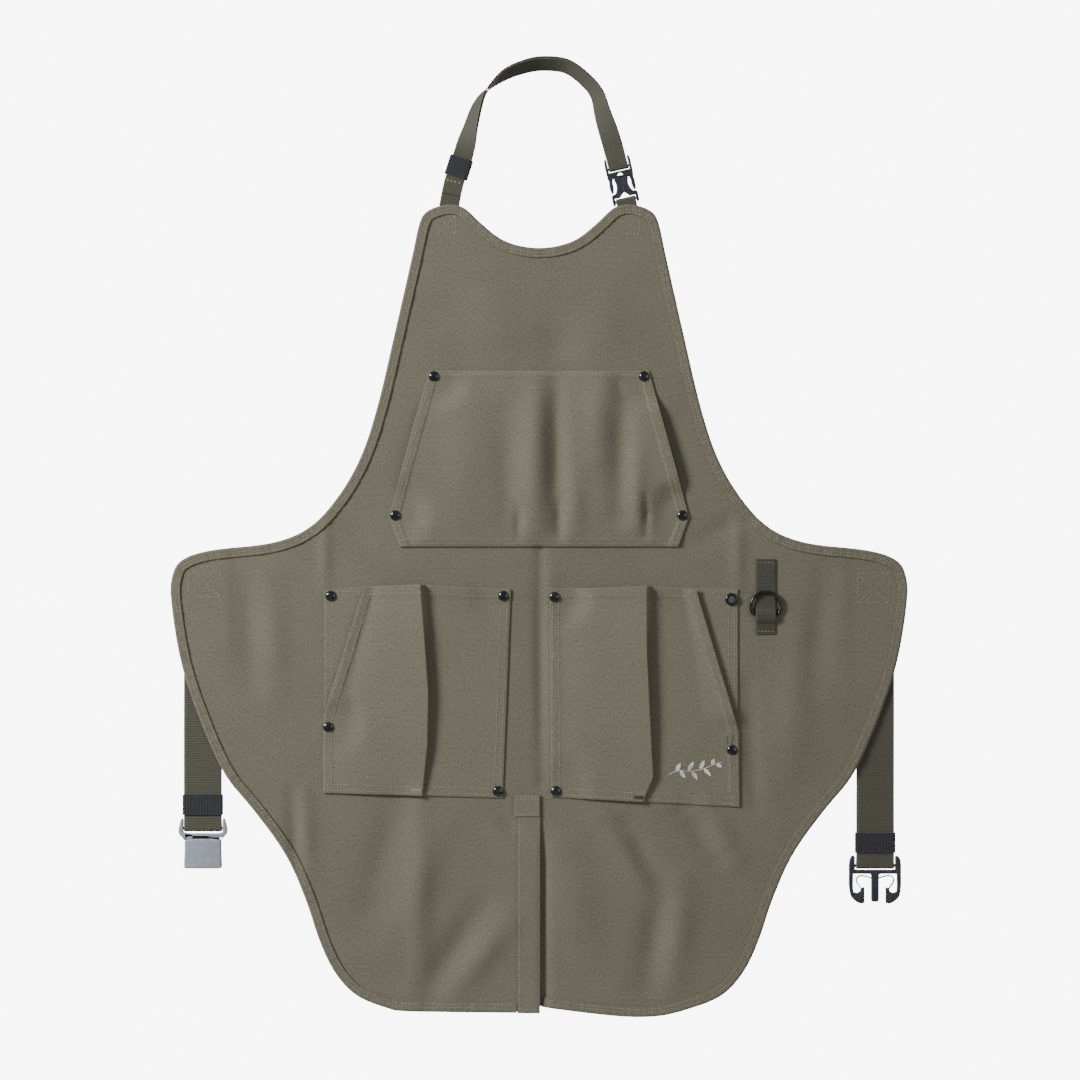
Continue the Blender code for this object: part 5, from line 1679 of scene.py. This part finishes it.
def make_waist_socket():
    """Female half: horns and a bar above a hollow body with a window at each side."""
    bar = Vector(JOINTS["left_buckle_tilt"]["pos_m"])
    half, window, foot = 18.3, 19.8, 40.0
    horns = mirrored([
        (window, 8.6), (window + 0.6, 9.8), (window + 1.5, 10), (window + 2.4, 8.6), (window + 3.6, 4),
        (window + 4.5, 0), (window + 4.6, -3), (window + 4.0, -5.4), (window + 2.8, -7), (half + 2.0, -9.4),
        (half + 0.4, -11.6), (half - 1.2, -12.4),
    ]) + [(-window, -3.9), (-16.8, -4.7), (-15.1, -5.0)] + [(15.1, -5.0), (16.8, -4.7), (window, -3.9)]
    slot = [(-16.8, -6.2), (-11.4, -6.4), (-10.6, -8.2), (-12.4, -9.8), (-16.4, -9.8)]
    shape = moulded([horns, slot], 7.4, 0.9)
    lump(shape, (0, -8.4, -3.2), (33, 5.6, 1.4), 0.4)
    rod_shape(shape, (-window - 1, 0, 0), (window + 1, 0, 0), WAIST_BAR)
    buckle_part("left_buckle_bar_frame", shape, GREY_PLASTIC, bar, ACROSS, UP, "left_buckle", None)
    body = mirrored([
        (9, -10.2), (half - 1.4, -11.1), (half - 0.2, -12.4), (half, -14), (half - 0.1, -22),
        (half + 0.3, -30), (half + 0.6, -38.4), (half - 0.4, -foot + 0.3), (half - 2, -foot),
    ])
    shell = buckle_part(
        "left_buckle_shell", moulded([body], 9.0, 1.5), GREY_PLASTIC, bar, ACROSS, UP, "left_buckle",
        "left_buckle_socket")
    cut_block(shell, bar, (0, -29, 0), (29.2, 30, 5.2))
    for side in (-1, 1):
        cut_block(shell, bar, (side * half, -19.5, 0), (7, 12, 5.0))


def make_waist_plug():
    """Male half: horns, crossbar and ridged guide, with a springy barbed arm at each side."""
    bar = Vector(JOINTS["right_buckle_tilt"]["pos_m"])
    half, window, foot, under, guide, rail = 26.1, 20.2, 37.8, -8.2, 3.8, 4.2
    outline = mirrored([
        (window, 8.7), (window + 0.7, 9.8), (window + 2.3, 10), (half - 1.8, 8.6), (half - 0.7, 6), (half, 1),
        (half, under + 0.6), (half - 0.6, under), (guide + 1.2, under), (guide, under - 1.2), (guide, -20),
        (guide, 3.7 - foot), (guide - 0.4, 2.3 - foot), (2.2, 1.7 - foot),
    ]) + [(-window, -4.0), (-16, -4.2), (16, -4.2), (window, -4.0)]
    shape = moulded([outline], 6.0, 0.9)
    rod_shape(shape, (-window - 1, 0, 0), (window + 1, 0, 0), WAIST_BAR)
    for along in np.arange(-33, -12, 2.6):
        lump(shape, (0, along, 2.9), (5.6, 1.1, 0.9), 0.3)
    buckle_part("right_buckle_frame", shape, PLASTIC, bar, ACROSS, UP, "right_buckle", "right_buckle_plug")
    rail_in = half - rail
    root = under + 0.3
    arm = rounded([(-half + 0.4, root), (-rail_in - 0.3, root)], 2).tolist()
    arm += rounded([(-rail_in, root - 0.6), (-rail_in, -24.3), (1.7 - rail_in, -26.7), (4.6 - rail_in, -27.3),
                    (7.6 - rail_in, -24.6), (7.7 - rail_in, -23.0), (11 - rail_in, -21.4)], 3).tolist()
    arm += rounded([(11.2 - rail_in, -22.4), (11.2 - rail_in, 1.6 - foot), (10 - rail_in, 0.4 - foot),
                    (7 - rail_in, -foot), (6.4 - half, 2.3 - foot), (2 - half, 7 - foot),
                    (0.5 - half, 13.5 - foot), (-half, -18), (-half, root - 0.6)], 3).tolist()
    spring = rounded([
        (8.4 - rail_in, -23.6), (6.9 - rail_in, -21.4), (4 - rail_in, -17.3), (3.3 - rail_in, -13.2),
        (5.7 - rail_in, -10.8), (8.7 - rail_in, -10.1), (-4.7 - guide, -11), (0.4 - guide, -12.5),
    ], 5)
    run = np.gradient(spring, axis=0)
    run /= np.linalg.norm(run, axis=1)[:, None]
    off = np.stack([run[:, 1], -run[:, 0]], axis=1) * 0.62
    curl = np.concatenate([spring + off, (spring - off)[::-1]]).tolist()
    for side, name in ((1, "left"), (-1, "right")):
        arm_body = f"right_buckle_{name}_arm"
        piece = moulded([[(side * a, b) for a, b in arm]], 5.8, 0.8)
        buckle_part(f"right_buckle_{name}_barb", piece, PLASTIC, bar, ACROSS, UP, arm_body, arm_body)
        piece = moulded([[(side * a, b) for a, b in curl]], 3.2, 0.3)
        curled = buckle_part(
            f"right_buckle_{name}_curl", piece, PLASTIC, bar, ACROSS, UP, None, f"right_buckle_{name}_spring")
        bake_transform(curled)


# ---------------------------------------------------------------- stitched boxes, bartacks and the sprig


def cross_box(x0, x1, h0, h1):
    """Rows of a stitched box with a cross inside it, as pairs of (x, height)."""
    return [((x0, h0), (x1, h0)), ((x1, h0), (x1, h1)), ((x1, h1), (x0, h1)), ((x0, h1), (x0, h0)),
            ((x0, h0), (x1, h1)), ((x0, h1), (x1, h0))]


def make_cross_boxes():
    """Stitched squares that hold the webbing: on the bib's corners and on the wings."""
    surface = surface_of(bpy.data.objects["bib_and_waist_canvas"])
    rows = []
    for x0, x1, h0, h1 in (
        (-101, -83, 782, 800), (83, 101, 782, 800), (-350, -319, 419, 449), (319, 350, 413, 443),
    ):
        for (xa, ha), (xb, hb) in cross_box(x0, x1, h0, h1):
            line = evenly([(xa * MM, level(ha)), (xb * MM, level(hb))], MM)
            rows.append((laid_on(surface, line), FORWARD))
            rows.append((laid_on(surface, line, front=False), BACKWARD))
    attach(stitches("webbing_box_stitching", rows, KHAKI_THREAD, sink=0.2), "apron")


def bartack(surface, x, h, wide, tall):
    """A dense block of short threads, wide by tall millimetres."""
    made = []
    count = int(wide / 0.62)
    for k in range(count + 1):
        share = k / count - 0.5
        lean = 0.18 if k % 2 else -0.18
        (xa, ha), (xb, hb) = (x + share * wide + lean, h - tall / 2), (x + share * wide - lean, h + tall / 2)
        ends = ((xa, ha), ((xa + xb) / 2, (ha + hb) / 2), (xb, hb))
        line = laid_on(surface, [(a * MM, level(b)) for a, b in ends], fallback=-0.0026)
        made.append((*line, FORWARD))
    return made


def make_bartacks():
    for side, spot, thread in (
        ("left", (-122.5, 226, 9, 4), KHAKI_THREAD), ("right", (99, 219, 9, 4.5), DARK_THREAD),
    ):
        surface = surface_of(bpy.data.objects[f"{side}_pocket_cloth"])
        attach(threads(f"{side}_pocket_bartack", bartack(surface, *spot), thread, 0.34), "apron")


SPRIG_STEM = ((130, 242), (140, 245.5), (152, 245), (165, 247.5), (176, 252), (183, 254))
SPRIG_LEAVES = ((137, 244.6, 62, 9), (141, 245.4, -55, 8), (149, 245.2, 58, 10), (153, 245.1, -58, 9),
                (161, 246.7, 64, 9), (165, 247.5, -46, 9), (173, 250.6, 72, 6.5), (177, 252.4, -30, 6))


def make_sprig():
    """A small leaf sprig in white satin stitch on the right pocket."""
    surface = surface_of(bpy.data.objects["right_pocket_cloth"])

    def laid(points):
        return laid_on(surface, [(a * MM, level(b)) for a, b in points], fallback=-0.0026)
    made = []
    stem = evenly(rounded(SPRIG_STEM, 6), 1.5)
    for a, b in zip(stem[:-1], stem[1:]):
        made.append((*laid((a - (b - a) * 0.25, (a + b) / 2, b)), FORWARD))
    for x, h, angle, length in SPRIG_LEAVES:
        along = np.array([math.cos(math.radians(angle)), math.sin(math.radians(angle))])
        side = np.array([-along[1], along[0]])
        for t in np.arange(0.08, 1.0, 0.55 / length):
            wide = 1.9 * math.sin(math.pi * t ** 0.8) + 0.25
            at = np.array([x, h]) + along * length * t
            for hand in (-1, 1):
                tip = at + side * hand * wide + along * 0.9
                made.append((*laid((at, (at + tip) / 2, tip)), FORWARD))
    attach(threads("leaf_sprig", made, PALE_THREAD, 0.3), "apron")


# ---------------------------------------------------------------- light, floor and camera


FLOOR_RADIUS = 0.52
FLOOR_DROP = 0.17  # how far the floor lies below the hem, in metres
BACKDROP = 8.0  # brightness of what the camera sees behind the apron
AMBIENT = 0.22  # brightness of the light from all round
FRAME_HEIGHT = 1.08  # what the camera takes in at the apron, in metres
LENS, SENSOR = 100, 36
# Place from the middle of the apron in metres, width and height, and power
LAMPS = (
    ("key softbox", (-2.25, -1.3, 1.05), (0.7, 0.7), 118),
    ("fill softbox", (1.9, -1.9, 0.3), (1.6, 1.6), 14),
    ("back softbox", (1.5, 2.2, 1.4), (1.4, 1.4), 75),
)


def make_stage():
    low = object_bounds()[0]
    floor_material, tree, shader = new_material("pale studio floor", 0.9)
    vector = add(tree, "ShaderNodeTexCoord").outputs["Object"]
    away = add(tree, "ShaderNodeVectorMath", {0: vector}, operation="LENGTH").outputs["Value"]
    grain = noise(tree, vector, 40.0, 3.0)
    shade = spread(tree, grain, 0.3, 0.7, 0.88, 0.93)
    tree.links.new(blended(tree, 1.0, srgb(250, 250, 250), shade, "MULTIPLY"), shader.inputs["Base Color"])
    tree.links.new(spread(tree, away, 0.0, 0.5, 0.9, 0.0), shader.inputs["Alpha"])
    place = (0, 0, low.z - FLOOR_DROP)
    bpy.ops.mesh.primitive_circle_add(vertices=96, radius=FLOOR_RADIUS, fill_type="NGON", location=place)
    floor = bpy.context.object
    floor.name = "studio_floor"
    floor.data.materials.append(floor_material)

    world = bpy.data.worlds.new("pale studio")
    bpy.context.scene.world = world
    world.use_nodes = True
    tree = world.node_tree
    tree.nodes.clear()
    seen = add(tree, "ShaderNodeBackground", {"Color": (1, 1, 1, 1), "Strength": BACKDROP})
    lit = add(tree, "ShaderNodeBackground", {"Color": (1, 1, 1, 1), "Strength": AMBIENT})
    path = add(tree, "ShaderNodeLightPath")
    mixed = tree.nodes.new("ShaderNodeMixShader")
    tree.links.new(path.outputs["Is Camera Ray"], mixed.inputs[0])
    tree.links.new(lit.outputs[0], mixed.inputs[1])
    tree.links.new(seen.outputs[0], mixed.inputs[2])
    tree.links.new(mixed.outputs[0], add(tree, "ShaderNodeOutputWorld").inputs[0])

    aim = Vector((0.001, 0, level(476)))
    for name, place, size, power in LAMPS:
        data = bpy.data.lights.new(name, "AREA")
        data.shape, data.size, data.size_y, data.energy = "RECTANGLE", size[0], size[1], power
        lamp = bpy.data.objects.new(name, data)
        lamp.location = aim + Vector(place)
        lamp.rotation_euler = (aim - lamp.location).to_track_quat("-Z", "Y").to_euler()
        bpy.context.scene.collection.objects.link(lamp)

    data = bpy.data.cameras.new("front camera")
    data.lens, data.sensor_width = LENS, SENSOR
    camera = bpy.data.objects.new("front camera", data)
    camera.location = aim + Vector((0, -FRAME_HEIGHT * LENS / SENSOR, 0))
    camera.rotation_euler = (math.radians(90), 0, 0)
    bpy.context.scene.collection.objects.link(camera)
    bpy.context.scene.camera = camera


make_canvas()
make_tape()
make_placket()
make_bib_pocket()
make_lower_pockets()
make_corner_flap()
make_rivets()
make_ring()
make_neck_strap()
make_keepers()
make_waist_straps()
make_neck_buckle()
make_waist_socket()
make_waist_plug()
make_cross_boxes()
make_bartacks()
make_sprig()
make_stage()
